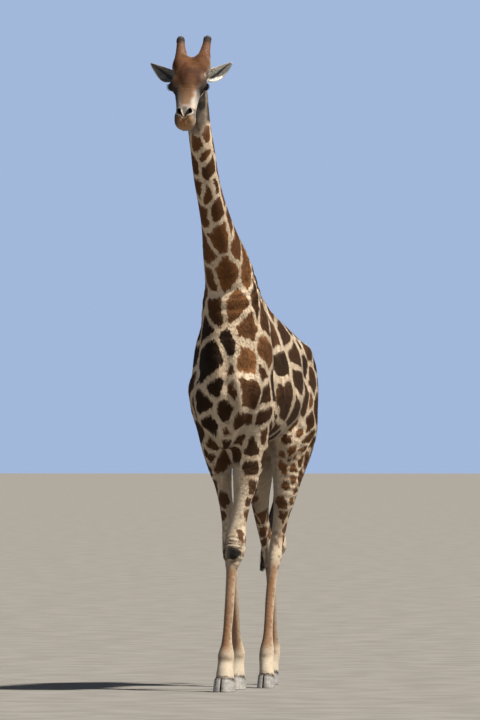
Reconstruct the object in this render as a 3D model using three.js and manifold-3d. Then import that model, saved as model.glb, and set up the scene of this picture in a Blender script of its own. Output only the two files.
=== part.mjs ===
// A still, life-size model of a walking bull giraffe, in millimetres, +Z up, facing -Y, with its left side on +X.
// The body is one smooth field: lofted chains of named sections for trunk, neck, head and limbs, blended into each
// other, with ellipsoids for the bones and muscles that show. Each node is that field meshed in its own region and
// parted from its neighbours by thin plane cuts.
import * as THREE from "three";
import { mergeVertices } from "three/addons/utils/BufferGeometryUtils.js";
import Module from "manifold-3d";

const wasm = await Module();
wasm.setup();

// ---- Driving dimensions, in metres -------------------------------------------------------------------------------
const GAP = 0.0002; // half of the cut between two nodes
const SKIN_GAP = 0.0005; // clearance of a piece set on the skin
const HEAD_AT = [-0.038, -1.054, 4.80]; // back of the skull
const HEAD_PITCH = 57; // degrees, face line below horizontal
const HEAD_YAW = 5; // degrees, to the left of the body's heading
const EYE = { a: 0.27, b: 0.0, c: 0.121, r: 0.029 };
const OSSICONE = { middle: [-0.0365, -1.06, 4.74], apart: 0.0815, lean: [-0.0045, 0.08, 0.225], splay: 0.0275, length: 0.24, base: 0.058, mid: 0.0385, shaft: 0.0315, knob: 0.0315 };
const EAR = { a: 0.136, b: -0.071, c: 0.104, aside: -0.014, length: 0.243, width: 0.057, rise: 28, sweep: 9, sag: 0.024, thick: 0.0055 };
const HOOF = { height: 0.115, halfWidth: 0.0385, toe: 0.132, back: 0.112, split: 0.0035, forward: 0.020, coronet: 0.088, slope: 0.185, hind: 0.81 };
const MANE_HEIGHT = 0.055, MANE_HALF = 0.013;

// Sections: [x, y, z, half width, depth on the +N side, depth on the -N side, taper of the width towards +N].
// N is lateral x tangent: up for the trunk, the throat side for the neck, the back of a limb, the jaw side of the head.
const TRUNK = [
  [0, -0.36, 2.43, 0.12, 0.20, 0.20, 0.0], [0, -0.24, 2.43, 0.19, 0.38, 0.40, 0.1], [0, -0.05, 2.42, 0.25, 0.54, 0.56, 0.25],
  [0, 0.15, 2.41, 0.285, 0.63, 0.56, 0.34], [0, 0.40, 2.38, 0.322, 0.66, 0.52, 0.29], [0, 0.65, 2.36, 0.343, 0.60, 0.465, 0.24],
  [0, 0.90, 2.36, 0.343, 0.525, 0.395, 0.16], [0, 1.15, 2.36, 0.326, 0.455, 0.345, 0.09], [0, 1.35, 2.34, 0.293, 0.415, 0.28, 0.05],
  [0, 1.52, 2.31, 0.225, 0.330, 0.22, 0.02], [0, 1.63, 2.29, 0.14, 0.19, 0.16, 0],
];
const NECK = [
  [0, 0.05, 2.60, 0.23, 0.42, 0.42, -0.1], [0, -0.02, 2.90, 0.225, 0.36, 0.43, -0.06], [0, -0.09, 3.134, 0.183, 0.28, 0.335, -0.12],
  [0, -0.31, 3.38, 0.143, 0.21, 0.235, -0.2], [0.000, -0.47, 3.57, 0.1135, 0.17, 0.17, -0.2], [-0.006, -0.63, 3.76, 0.097, 0.142, 0.145, -0.18],
  [-0.012, -0.745, 3.93, 0.094, 0.132, 0.140, -0.13], [-0.015, -0.83, 4.107, 0.092, 0.125, 0.135, -0.08], [-0.020, -0.90, 4.258, 0.086, 0.118, 0.122, -0.06],
  [-0.027, -0.95, 4.47, 0.085, 0.115, 0.112, -0.04], [-0.033, -0.985, 4.62, 0.083, 0.09, 0.095, 0], [-0.037, -1.02, 4.71, 0.075, 0.06, 0.07, 0],
];
// Limbs, from the top down.
const FORE_L = [
  [0.155, 0.13, 2.82, 0.07, 0.14, 0.13, 0], [0.195, 0.05, 2.62, 0.088, 0.19, 0.18, 0], [0.20, -0.03, 2.42, 0.095, 0.22, 0.20, 0],
  [0.20, -0.05, 2.24, 0.105, 0.22, 0.20, 0], [0.187, 0.00, 2.06, 0.106, 0.18, 0.16, 0], [0.148, 0.00, 1.88, 0.127, 0.14, 0.13, 0],
  [0.124, -0.035, 1.72, 0.121, 0.112, 0.11, 0], [0.112, -0.065, 1.58, 0.097, 0.095, 0.093, 0], [0.093, -0.10, 1.42, 0.069, 0.078, 0.078, 0],
  [0.071, -0.13, 1.28, 0.071, 0.070, 0.074, 0], [0.062, -0.155, 1.18, 0.084, 0.068, 0.080, 0], [0.059, -0.185, 1.08, 0.090, 0.072, 0.087, 0],
  [0.052, -0.205, 1.00, 0.070, 0.058, 0.066, 0], [0.044, -0.225, 0.92, 0.044, 0.050, 0.049, 0], [0.046, -0.26, 0.78, 0.040, 0.047, 0.045, 0],
  [0.048, -0.30, 0.63, 0.040, 0.047, 0.044, 0], [0.046, -0.345, 0.45, 0.038, 0.045, 0.041, 0], [0.047, -0.368, 0.345, 0.048, 0.052, 0.048, 0],
  [0.047, -0.385, 0.275, 0.065, 0.070, 0.060, 0], [0.048, -0.405, 0.205, 0.062, 0.066, 0.060, 0], [0.051, -0.43, 0.13, 0.070, 0.078, 0.080, 0],
  [0.052, -0.44, 0.09, 0.072, 0.088, 0.092, 0],
];
const FORE_R = [
  [-0.155, 0.13, 2.82, 0.07, 0.14, 0.13, 0], [-0.20, 0.04, 2.62, 0.088, 0.19, 0.18, 0], [-0.20, -0.04, 2.42, 0.095, 0.22, 0.20, 0],
  [-0.21, -0.08, 2.24, 0.105, 0.22, 0.20, 0], [-0.19, -0.01, 2.06, 0.102, 0.18, 0.16, 0], [-0.142, 0.01, 1.88, 0.114, 0.14, 0.13, 0],
  [-0.113, 0.02, 1.73, 0.098, 0.112, 0.11, 0], [-0.090, 0.03, 1.59, 0.070, 0.09, 0.09, 0], [-0.071, 0.04, 1.45, 0.056, 0.078, 0.078, 0],
  [-0.050, 0.05, 1.30, 0.057, 0.070, 0.072, 0], [-0.040, 0.062, 1.18, 0.066, 0.068, 0.076, 0], [-0.035, 0.080, 1.07, 0.074, 0.070, 0.084, 0],
  [-0.034, 0.095, 0.985, 0.058, 0.058, 0.064, 0], [-0.034, 0.110, 0.91, 0.043, 0.050, 0.049, 0], [-0.035, 0.135, 0.78, 0.040, 0.047, 0.045, 0],
  [-0.035, 0.165, 0.63, 0.040, 0.047, 0.044, 0], [-0.035, 0.205, 0.45, 0.038, 0.045, 0.041, 0], [-0.035, 0.232, 0.345, 0.048, 0.052, 0.048, 0],
  [-0.036, 0.247, 0.275, 0.063, 0.068, 0.060, 0], [-0.038, 0.238, 0.205, 0.061, 0.066, 0.060, 0], [-0.041, 0.228, 0.13, 0.070, 0.078, 0.080, 0],
  [-0.042, 0.225, 0.09, 0.072, 0.088, 0.092, 0],
];
const HIND_L = [
  [0.132, 1.38, 2.49, 0.148, 0.20, 0.21, 0], [0.170, 1.295, 2.26, 0.152, 0.26, 0.30, 0], [0.188, 1.20, 2.05, 0.160, 0.27, 0.29, 0],
  [0.170, 1.13, 1.87, 0.155, 0.245, 0.24, 0], [0.154, 1.09, 1.74, 0.140, 0.195, 0.19, 0], [0.148, 1.055, 1.61, 0.111, 0.150, 0.14, 0],
  [0.132, 1.035, 1.46, 0.086, 0.115, 0.102, 0], [0.103, 1.045, 1.32, 0.063, 0.095, 0.082, 0], [0.085, 1.055, 1.22, 0.057, 0.088, 0.070, 0],
  [0.072, 1.05, 1.14, 0.057, 0.090, 0.066, 0], [0.066, 1.04, 1.07, 0.060, 0.085, 0.066, 0], [0.060, 1.00, 0.97, 0.052, 0.064, 0.058, 0],
  [0.057, 0.955, 0.86, 0.042, 0.052, 0.046, 0], [0.056, 0.89, 0.68, 0.040, 0.047, 0.041, 0], [0.060, 0.835, 0.52, 0.038, 0.046, 0.040, 0],
  [0.064, 0.795, 0.39, 0.042, 0.048, 0.042, 0], [0.065, 0.765, 0.30, 0.056, 0.056, 0.052, 0], [0.066, 0.745, 0.235, 0.059, 0.062, 0.056, 0],
  [0.073, 0.718, 0.17, 0.056, 0.062, 0.060, 0], [0.080, 0.700, 0.115, 0.059, 0.072, 0.072, 0], [0.082, 0.695, 0.085, 0.059, 0.075, 0.076, 0],
];
const HIND_R = [
  [-0.132, 1.38, 2.49, 0.148, 0.20, 0.21, 0], [-0.170, 1.30, 2.26, 0.152, 0.26, 0.30, 0], [-0.186, 1.24, 2.05, 0.158, 0.26, 0.29, 0],
  [-0.160, 1.22, 1.87, 0.148, 0.235, 0.235, 0], [-0.141, 1.24, 1.74, 0.125, 0.185, 0.18, 0], [-0.134, 1.29, 1.61, 0.100, 0.140, 0.13, 0],
  [-0.150, 1.365, 1.46, 0.076, 0.108, 0.096, 0], [-0.155, 1.435, 1.32, 0.058, 0.090, 0.078, 0], [-0.150, 1.485, 1.22, 0.052, 0.086, 0.070, 0],
  [-0.140, 1.525, 1.14, 0.055, 0.088, 0.066, 0], [-0.128, 1.545, 1.07, 0.059, 0.082, 0.066, 0], [-0.119, 1.555, 0.97, 0.052, 0.062, 0.058, 0],
  [-0.113, 1.562, 0.86, 0.042, 0.052, 0.046, 0], [-0.110, 1.580, 0.68, 0.040, 0.047, 0.041, 0], [-0.113, 1.602, 0.52, 0.038, 0.046, 0.040, 0],
  [-0.116, 1.625, 0.39, 0.042, 0.048, 0.042, 0], [-0.118, 1.640, 0.30, 0.056, 0.056, 0.052, 0], [-0.119, 1.636, 0.235, 0.059, 0.062, 0.056, 0],
  [-0.123, 1.624, 0.17, 0.057, 0.062, 0.060, 0], [-0.128, 1.612, 0.115, 0.062, 0.074, 0.074, 0], [-0.129, 1.608, 0.085, 0.062, 0.078, 0.080, 0],
];
const TAIL = [
  [0, 1.62, 2.45, 0.055, 0.055, 0.055, 0], [0, 1.72, 2.41, 0.045, 0.045, 0.045, 0], [-0.004, 1.785, 2.31, 0.036, 0.036, 0.036, 0],
  [-0.020, 1.825, 2.18, 0.028, 0.028, 0.028, 0], [-0.05, 1.85, 2.03, 0.023, 0.023, 0.023, 0], [-0.08, 1.86, 1.88, 0.020, 0.020, 0.020, 0],
  [-0.13, 1.855, 1.63, 0.0165, 0.0165, 0.0165, 0], [-0.160, 1.845, 1.45, 0.0145, 0.0145, 0.0145, 0],
];
const TUFT = [
  [-0.158, 1.846, 1.465, 0.0165, 0.0165, 0.0165, 0], [-0.163, 1.843, 1.42, 0.020, 0.019, 0.019, 0], [-0.172, 1.838, 1.34, 0.027, 0.025, 0.025, 0],
  [-0.187, 1.834, 1.24, 0.040, 0.034, 0.034, 0], [-0.206, 1.830, 1.13, 0.052, 0.040, 0.040, 0], [-0.228, 1.826, 1.03, 0.050, 0.037, 0.037, 0],
  [-0.247, 1.822, 0.94, 0.032, 0.025, 0.025, 0], [-0.258, 1.820, 0.88, 0.014, 0.012, 0.012, 0],
];
// Head, in its own axes: [a along the face from the back of the skull, b towards the forehead, half width, jaw depth, brow depth, taper].
const SKULL = [
  [0.025, -0.012, 0.086, 0.070, 0.028, 0.0], [0.08, -0.003, 0.114, 0.092, 0.055, 0.05], [0.15, 0.000, 0.123, 0.105, 0.078, 0.1],
  [0.22, 0.000, 0.121, 0.105, 0.080, 0.12], [0.30, -0.005, 0.106, 0.095, 0.073, 0.12], [0.37, -0.010, 0.093, 0.080, 0.064, 0.1],
  [0.44, -0.015, 0.081, 0.062, 0.062, 0.05], [0.51, -0.018, 0.077, 0.052, 0.062, 0.0], [0.556, -0.020, 0.080, 0.047, 0.060, -0.05],
  [0.588, -0.026, 0.070, 0.042, 0.052, -0.05], [0.610, -0.032, 0.050, 0.034, 0.042, 0.0], [0.622, -0.036, 0.028, 0.024, 0.028, 0.0],
];
const JAW = [
  [0.09, -0.090, 0.074, 0.060, 0.05, 0.2], [0.17, -0.110, 0.077, 0.072, 0.06, 0.25], [0.25, -0.105, 0.072, 0.068, 0.06, 0.25],
  [0.33, -0.090, 0.062, 0.054, 0.05, 0.25], [0.41, -0.075, 0.055, 0.040, 0.04, 0.2], [0.50, -0.066, 0.050, 0.030, 0.03, 0.1],
  [0.565, -0.062, 0.043, 0.028, 0.03, 0.0], [0.595, -0.058, 0.028, 0.024, 0.026, 0.0],
];
// Bones and muscles that show: [x, y, z, three radii, blend]; a negative blend carves.
const MUSCLES = [
  [0.0, 0.36, 2.96, 0.130, 0.30, 0.105, 0.08], // withers
  [0.105, -0.34, 2.21, 0.115, 0.10, 0.21, 0.07], [-0.105, -0.34, 2.21, 0.115, 0.10, 0.21, 0.07], // breast
  [0.0, -0.27, 1.97, 0.07, 0.14, 0.13, 0.10], // breastbone
  [0.200, -0.23, 2.30, 0.085, 0.080, 0.12, 0.07], [-0.200, -0.25, 2.30, 0.082, 0.080, 0.12, 0.07], // points of the shoulders
  [0.240, 0.10, 2.15, 0.070, 0.13, 0.17, 0.07], [-0.240, 0.10, 2.15, 0.070, 0.13, 0.17, 0.07], // triceps
  [0.160, 0.135, 1.93, 0.045, 0.045, 0.07, 0.05], [-0.155, 0.145, 1.93, 0.045, 0.045, 0.07, 0.05], // points of the elbows
  [0.165, 0.20, 2.70, 0.060, 0.14, 0.20, 0.07], [-0.165, 0.20, 2.70, 0.060, 0.14, 0.20, 0.07], // shoulder blades
  [0.235, 1.24, 2.59, 0.060, 0.100, 0.075, 0.07], [-0.235, 1.24, 2.59, 0.060, 0.100, 0.075, 0.07], // hip bones
  [0.100, 1.63, 2.31, 0.060, 0.070, 0.07, 0.06], [-0.100, 1.63, 2.31, 0.060, 0.070, 0.07, 0.06], // seat bones
  [0.186, 0.905, 1.90, 0.062, 0.060, 0.12, 0.09], [-0.192, 1.010, 1.90, 0.062, 0.060, 0.12, 0.09], // knee caps
  [0.170, 1.33, 1.95, 0.075, 0.13, 0.22, 0.08], [-0.178, 1.38, 1.95, 0.075, 0.13, 0.22, 0.08], // back of the thighs
  [0.084, 1.165, 1.115, 0.034, 0.046, 0.085, 0.05], [-0.150, 1.640, 1.115, 0.032, 0.042, 0.080, 0.05], // points of the hocks
  [0.061, -0.258, 1.075, 0.050, 0.026, 0.055, 0.03], [-0.036, 0.008, 1.065, 0.048, 0.026, 0.055, 0.03], // fronts of the knees
  [0.062, -0.112, 1.11, 0.026, 0.026, 0.05, 0.03], [-0.037, 0.142, 1.095, 0.026, 0.026, 0.05, 0.03], // backs of the knees
  [0.047, -0.325, 0.285, 0.040, 0.028, 0.04, 0.03], [-0.036, 0.305, 0.285, 0.040, 0.028, 0.04, 0.03], // backs of the fore fetlocks
  [0.066, 0.812, 0.285, 0.038, 0.028, 0.04, 0.03], [-0.108, 1.690, 0.285, 0.038, 0.028, 0.04, 0.03], // backs of the hind fetlocks
  [0.0, 1.08, 1.895, 0.034, 0.085, 0.085, 0.05], // sheath
  [0.42, 0.98, 2.42, 0.075, 0.10, 0.13, -0.10], [-0.42, 0.98, 2.42, 0.075, 0.10, 0.13, -0.10], // flank hollows
];

// ---- The field ---------------------------------------------------------------------------------------------------
const D = Math.PI / 180;
const V = (x, y, z) => new THREE.Vector3(x, y, z);
const heading = V(Math.sin(HEAD_YAW * D), -Math.cos(HEAD_YAW * D), 0);
const eA = heading.clone().multiplyScalar(Math.cos(HEAD_PITCH * D)).add(V(0, 0, -Math.sin(HEAD_PITCH * D)));
const eB = heading.clone().multiplyScalar(Math.sin(HEAD_PITCH * D)).add(V(0, 0, Math.cos(HEAD_PITCH * D)));
const eC = V(Math.cos(HEAD_YAW * D), Math.sin(HEAD_YAW * D), 0);
const headPoint = (a, b, c) => V(...HEAD_AT).addScaledVector(eA, a).addScaledVector(eB, b).addScaledVector(eC, c);

function spline(p0, p1, p2, p3, t) {
  return 0.5 * (2 * p1 + (p2 - p0) * t + (2 * p0 - 5 * p1 + 4 * p2 - p3) * t * t + (3 * p1 - p0 - 3 * p2 + p3) * t * t * t);
}
// A chain of sections, resampled smoothly, with its frame at each sample.
function chain(rows, lateral = V(1, 0, 0), steps = 3) {
  const out = [];
  const last = rows.length - 1;
  for (let i = 0; i < last; i++)
    for (let s = 0; s < steps; s++) {
      const t = s / steps;
      out.push(rows[i].map((_, j) => spline(rows[Math.max(i - 1, 0)][j], rows[i][j], rows[i + 1][j], rows[Math.min(i + 2, last)][j], t)));
    }
  out.push([...rows[last]]);
  const samples = out.map((r) => ({ c: V(r[0], r[1], r[2]), w: r[3], dp: r[4], dm: r[5], k: r[6] }));
  samples.forEach((s, i) => {
    const before = samples[Math.max(i - 1, 0)].c, after = samples[Math.min(i + 1, samples.length - 1)].c;
    s.t = after.clone().sub(before).normalize();
    s.l = lateral.clone().addScaledVector(s.t, -lateral.dot(s.t)).normalize();
    s.n = s.l.clone().cross(s.t);
  });
  return samples;
}
function chainField(samples, power = 2) {
  const segs = samples.slice(1).map((b, i) => {
    const a = samples[i];
    return { a, b, d: b.c.clone().sub(a.c), dd: b.c.distanceToSquared(a.c) };
  });
  const q = V(0, 0, 0), n = V(0, 0, 0), l = V(0, 0, 0), t = V(0, 0, 0);
  return (x, y, z) => {
    let best = 1e9;
    for (const { a, b, d, dd } of segs) {
      const f = Math.min(1, Math.max(0, ((x - a.c.x) * d.x + (y - a.c.y) * d.y + (z - a.c.z) * d.z) / dd));
      q.set(x - a.c.x - d.x * f, y - a.c.y - d.y * f, z - a.c.z - d.z * f);
      const rough = q.length();
      if (rough - 0.75 > best) continue;
      n.lerpVectors(a.n, b.n, f).normalize();
      l.lerpVectors(a.l, b.l, f).normalize();
      t.lerpVectors(a.t, b.t, f).normalize();
      const u = q.dot(l), v = q.dot(n), s = q.dot(t);
      const w = a.w + (b.w - a.w) * f, dp = a.dp + (b.dp - a.dp) * f, dm = a.dm + (b.dm - a.dm) * f, k = a.k + (b.k - a.k) * f;
      const h = v > 0 ? dp : dm;
      const share = Math.min(1, Math.max(-1, v / h));
      const we = w * (1 - k * (power === 2 ? share : Math.max(share, -0.25)));
      const cap = Math.min(w, dp, dm);
      const across = power === 2 ? (u / we) ** 2 + (v / h) ** 2 : (Math.abs(u / we) ** power + Math.abs(v / h) ** power) ** (2 / power);
      const rho = Math.sqrt(across + (s / cap) ** 2);
      const dist = rho < 1e-6 ? -cap : rough * (1 - 1 / rho);
      if (dist < best) best = dist;
    }
    return best;
  };
}
function ellipsoid(c, r, ax = V(1, 0, 0), ay = V(0, 1, 0), az = V(0, 0, 1)) {
  return (x, y, z) => {
    const px = x - c.x, py = y - c.y, pz = z - c.z;
    const u = px * ax.x + py * ax.y + pz * ax.z, v = px * ay.x + py * ay.y + pz * ay.z, w = px * az.x + py * az.y + pz * az.z;
    const rho = Math.sqrt((u / r[0]) ** 2 + (v / r[1]) ** 2 + (w / r[2]) ** 2);
    return rho < 1e-6 ? -Math.min(...r) : Math.sqrt(px * px + py * py + pz * pz) * (1 - 1 / rho);
  };
}
const smin = (a, b, k) => { const h = Math.max(k - Math.abs(a - b), 0) / k; return Math.min(a, b) - h * h * k * 0.25; };
const smax = (a, b, k) => -smin(-a, -b, k);

const TRUNK_POWER = 2.3; // a fuller section than an ellipse
const trunkField = chainField(chain(TRUNK), TRUNK_POWER), neckField = chainField(chain(NECK));
const limbs = [FORE_L, FORE_R, HIND_L, HIND_R].map((r) => chainField(chain(r)));
const muscles = MUSCLES.map((m) => ({ f: ellipsoid(V(m[0], m[1], m[2]), [m[3], m[4], m[5]]), k: m[6], r: Math.max(m[3], m[4], m[5]) + 0.15, c: V(m[0], m[1], m[2]) }));
const headRow = (r) => { const p = headPoint(r[0], r[1], 0); return [p.x, p.y, p.z, r[2], r[3], r[4], r[5]]; };
const skullField = chainField(chain(SKULL.map(headRow), eC)), jawField = chainField(chain(JAW.map(headRow), eC));
// Details of the head: [a, b, c, radii along a, b, c, blend], doubled on both sides where c isn't 0.
const HEAD_PARTS = [
  [0.200, 0.052, 0, 0.095, 0.042, 0.052, 0.045], // bump of the forehead
  [0.072, 0.012, 0.078, 0.070, 0.050, 0.050, 0.04], // roots of the ossicones
  [0.265, 0.008, 0.096, 0.064, 0.050, 0.048, 0.035], // rims of the eye sockets
  [0.210, -0.080, 0.070, 0.090, 0.062, 0.034, 0.04], // cheeks
  [0.115, -0.062, 0.092, 0.045, 0.042, 0.034, 0.03], // roots of the ears
  [0.577, -0.030, 0.034, 0.044, 0.038, 0.038, 0.03], // upper lip
  [0.552, 0.010, 0.046, 0.050, 0.030, 0.030, 0.025], // nostril swellings
  [0.583, -0.070, 0.0, 0.040, 0.024, 0.036, 0.025], // chin
].flatMap((r) => (r[2] ? [r, [r[0], r[1], -r[2], ...r.slice(3)]] : [r])).map((r) => ({ f: ellipsoid(headPoint(r[0], r[1], r[2]), [r[3], r[4], r[5]], eA, eB, eC), k: r[6] }));
function headField(x, y, z) {
  let d = smin(skullField(x, y, z), jawField(x, y, z), 0.03);
  for (const { f, k } of HEAD_PARTS) d = smin(d, f(x, y, z), k);
  return d;
}
// One blended field of the body, without ears, ossicones, hooves, eyes, mane and tuft; below the trunk each limb is
// taken by itself, so that two limbs that pass close by are never webbed together.
const ramp = (lo, hi, v) => { const t = Math.min(1, Math.max(0, (v - lo) / (hi - lo))); return t * t * (3 - 2 * t); };
function body(x, y, z, only = -1) {
  let d = neckField(x, y, z);
  if (z > 3.9) return smin(d, headField(x, y, z), 0.06);
  d = smin(d, trunkField(x, y, z), 0.14);
  const k = 0.015 + 0.07 * ramp(1.45, 1.80, z);
  limbs.forEach((f, i) => { if (only < 0 || only === i) d = smin(d, f(x, y, z), k); });
  for (const { f, k, r, c } of muscles) {
    if (Math.abs(x - c.x) > r || Math.abs(y - c.y) > r || Math.abs(z - c.z) > r) continue;
    if (only >= 0 && z < 1.6 && (only % 2 === 0) !== c.x > 0) continue;
    d = k > 0 ? smin(d, f(x, y, z), k) : smax(d, -f(x, y, z), -k);
  }
  return d;
}

// ---- Meshing the field -------------------------------------------------------------------------------------------
// Surface nets on a box grid with its own step each way, one vertex for each sheet through a cell, then three steps
// of each vertex onto the surface.
const EDGES = [], FACES = [];
for (let axis = 0; axis < 3; axis++)
  for (const [u, v] of [[0, 0], [1, 0], [0, 1], [1, 1]]) {
    const a = [0, 0, 0], b = [0, 0, 0];
    a[(axis + 1) % 3] = b[(axis + 1) % 3] = u;
    a[(axis + 2) % 3] = b[(axis + 2) % 3] = v;
    b[axis] = 1;
    EDGES.push([a, b]);
  }
for (let axis = 0; axis < 3; axis++)
  for (const w of [0, 1]) FACES.push(EDGES.map((_, e) => e).filter((e) => EDGES[e].every((c) => c[axis] === w)));
function mesh(field, low, high, step) {
  const n = [0, 1, 2].map((i) => Math.ceil((high[i] - low[i]) / step[i]) + 1);
  const at = (i, j, k) => (k * n[1] + j) * n[0] + i;
  const val = new Float64Array(n[0] * n[1] * n[2]);
  for (let k = 0; k < n[2]; k++)
    for (let j = 0; j < n[1]; j++)
      for (let i = 0; i < n[0]; i++) {
        const edge = i === 0 || j === 0 || k === 0 || i === n[0] - 1 || j === n[1] - 1 || k === n[2] - 1;
        const d = field(low[0] + i * step[0], low[1] + j * step[1], low[2] + k * step[2]);
        val[at(i, j, k)] = edge ? Math.max(d, 1e-4) : d;
      }
  const cells = new Map();
  const pos = [], free = [];
  for (let k = 0; k < n[2] - 1; k++)
    for (let j = 0; j < n[1] - 1; j++)
      for (let i = 0; i < n[0] - 1; i++) {
        const cross = EDGES.map(([a, b]) => {
          const va = val[at(i + a[0], j + a[1], k + a[2])], vb = val[at(i + b[0], j + b[1], k + b[2])];
          return va < 0 === vb < 0 ? -1 : va / (va - vb);
        });
        if (cross.every((t) => t < 0)) continue;
        // Crossed edges that share a sheet: the two on a face, or, of four, the two beside each inside corner.
        const group = EDGES.map((_, e) => e);
        const root = (e) => (group[e] === e ? e : root(group[e]));
        for (const face of FACES) {
          const hit = face.filter((e) => cross[e] >= 0);
          if (hit.length === 2) group[root(hit[0])] = root(hit[1]);
          if (hit.length === 4)
            for (const e of hit)
              for (const g of hit) {
                if (g <= e) continue;
                const corner = EDGES[e].find((c) => EDGES[g].some((d) => c[0] === d[0] && c[1] === d[1] && c[2] === d[2]));
                if (corner && val[at(i + corner[0], j + corner[1], k + corner[2])] < 0) group[root(e)] = root(g);
              }
        }
        const made = new Map(), index = new Int32Array(12).fill(-1);
        cross.forEach((t, e) => {
          if (t < 0) return;
          const r = root(e), [a, b] = EDGES[e];
          if (!made.has(r)) made.set(r, { id: 0, s: [0, 0, 0], n: 0 });
          const m = made.get(r);
          for (let q = 0; q < 3; q++) m.s[q] += a[q] + (b[q] - a[q]) * t;
          m.n++;
        });
        for (const m of made.values()) {
          m.id = pos.length / 3;
          free.push(i > 1 && j > 1 && k > 1 && i < n[0] - 3 && j < n[1] - 3 && k < n[2] - 3);
          pos.push(low[0] + (i + m.s[0] / m.n) * step[0], low[1] + (j + m.s[1] / m.n) * step[1], low[2] + (k + m.s[2] / m.n) * step[2]);
        }
        cross.forEach((t, e) => { if (t >= 0) index[e] = made.get(root(e)).id; });
        cells.set(at(i, j, k), index);
      }
  const h = 5e-4;
  for (let v = 0; v < free.length; v++) {
    if (!free[v]) continue;
    let x = pos[v * 3], y = pos[v * 3 + 1], z = pos[v * 3 + 2];
    const from = [x, y, z];
    for (let it = 0; it < 3; it++) {
      const d = field(x, y, z);
      const gx = field(x + h, y, z) - field(x - h, y, z), gy = field(x, y + h, z) - field(x, y - h, z), gz = field(x, y, z + h) - field(x, y, z - h);
      const g2 = gx * gx + gy * gy + gz * gz;
      if (g2 < 1e-12) break;
      const m = (d * 2 * h) / g2;
      x -= gx * m; y -= gy * m; z -= gz * m;
    }
    const far = Math.hypot((x - from[0]) / step[0], (y - from[1]) / step[1], (z - from[2]) / step[2]);
    if (far < 0.6) { pos[v * 3] = x; pos[v * 3 + 1] = y; pos[v * 3 + 2] = z; }
  }
  const tri = [];
  for (let k = 0; k < n[2] - 1; k++)
    for (let j = 0; j < n[1] - 1; j++)
      for (let i = 0; i < n[0] - 1; i++)
        for (let axis = 0; axis < 3; axis++) {
          const o = [0, 0, 0];
          o[axis] = 1;
          const va = val[at(i, j, k)], vb = val[at(i + o[0], j + o[1], k + o[2])];
          if (va < 0 === vb < 0) continue;
          const u = (axis + 1) % 3, w = (axis + 2) % 3;
          const q = [[0, 0], [1, 0], [1, 1], [0, 1]].map(([s, t]) => {
            const c = [i, j, k];
            c[u] -= s;
            c[w] -= t;
            const e = EDGES.findIndex(([a, b]) => a[u] === s && a[w] === t && a[axis] === 0 && b[axis] === 1);
            return cells.get(at(c[0], c[1], c[2]))[e];
          });
          if (va >= 0) q.reverse();
          const p = q.map((c) => [pos[c * 3], pos[c * 3 + 1], pos[c * 3 + 2]]);
          const len = (a, b) => Math.hypot(p[a][0] - p[b][0], p[a][1] - p[b][1], p[a][2] - p[b][2]);
          if (len(0, 2) < len(1, 3)) tri.push(q[0], q[1], q[2], q[0], q[2], q[3]);
          else tri.push(q[1], q[2], q[3], q[1], q[3], q[0]);
        }
  return solid(pos, tri);
}
const mm = 1000;
function solid(pos, tri) {
  const g = new THREE.BufferGeometry();
  g.setAttribute("position", new THREE.BufferAttribute(Float32Array.from(pos, (v) => v * mm), 3));
  g.setIndex(tri);
  return fromGeometry(g);
}
function fromGeometry(geometry, matrix) {
  const g = geometry.clone();
  g.deleteAttribute("normal");
  g.deleteAttribute("uv");
  if (matrix) g.applyMatrix4(matrix);
  const m = mergeVertices(g, 1e-3);
  return new wasm.Manifold(new wasm.Mesh({ numProp: 3, vertProperties: m.attributes.position.array, triVerts: new Uint32Array(m.index.array) }));
}
// Keeps the side of a plane that its normal points to, GAP away from it; the plane is a point and a normal, in metres.
function keep(s, point, normal, gap = GAP) {
  const p = V(...point), n = V(...normal).normalize();
  const size = 9 * mm;
  const box = new THREE.BoxGeometry(size, size, size).translate(0, 0, size / 2);
  const m = new THREE.Matrix4().compose(p.clone().addScaledVector(n, gap).multiplyScalar(mm), new THREE.Quaternion().setFromUnitVectors(V(0, 0, 1), n), V(1, 1, 1));
  return s.intersect(fromGeometry(box, m));
}
// The same solid with every corner moved out by d metres.
function swell(s, d) {
  const m = s.getMesh();
  const g = new THREE.BufferGeometry();
  g.setAttribute("position", new THREE.BufferAttribute(new Float32Array(m.vertProperties), 3));
  g.setIndex(new THREE.BufferAttribute(new Uint32Array(m.triVerts), 1));
  g.computeVertexNormals();
  const p = g.attributes.position, n = g.attributes.normal;
  for (let i = 0; i < p.count; i++) p.setXYZ(i, p.getX(i) + n.getX(i) * d * mm, p.getY(i) + n.getY(i) * d * mm, p.getZ(i) + n.getZ(i) * d * mm);
  return fromGeometry(g);
}
const away = (n) => n.map((v) => -v);
function largest(s) {
  const all = s.decompose();
  return all.reduce((a, b) => (b.volume() > a.volume() ? b : a));
}

// A closed tube through sections given as rings of points.
function rings(list, flip = false) {
  const n = list[0].length, pos = [], tri = [];
  for (const r of list) for (const p of r) pos.push(p.x, p.y, p.z);
  for (let i = 0; i + 1 < list.length; i++)
    for (let j = 0; j < n; j++) {
      const a = i * n + j, b = i * n + ((j + 1) % n), c = a + n, d = b + n;
      tri.push(a, b, d, a, d, c);
    }
  for (const [at, turn] of [[0, true], [list.length - 1, false]]) {
    const c = list[at].reduce((s, p) => s.add(p), V(0, 0, 0)).divideScalar(n);
    const m = pos.length / 3;
    pos.push(c.x, c.y, c.z);
    for (let j = 0; j < n; j++) { const a = at * n + j, b = at * n + ((j + 1) % n); turn ? tri.push(m, b, a) : tri.push(m, a, b); }
  }
  let s;
  const other = tri.map((_, i) => tri[i % 3 === 1 ? i + 1 : i % 3 === 2 ? i - 1 : i]);
  s = solid(pos, flip ? other : tri);
  return s.volume() < 0 ? solid(pos, flip ? tri : other) : s;
}
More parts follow.
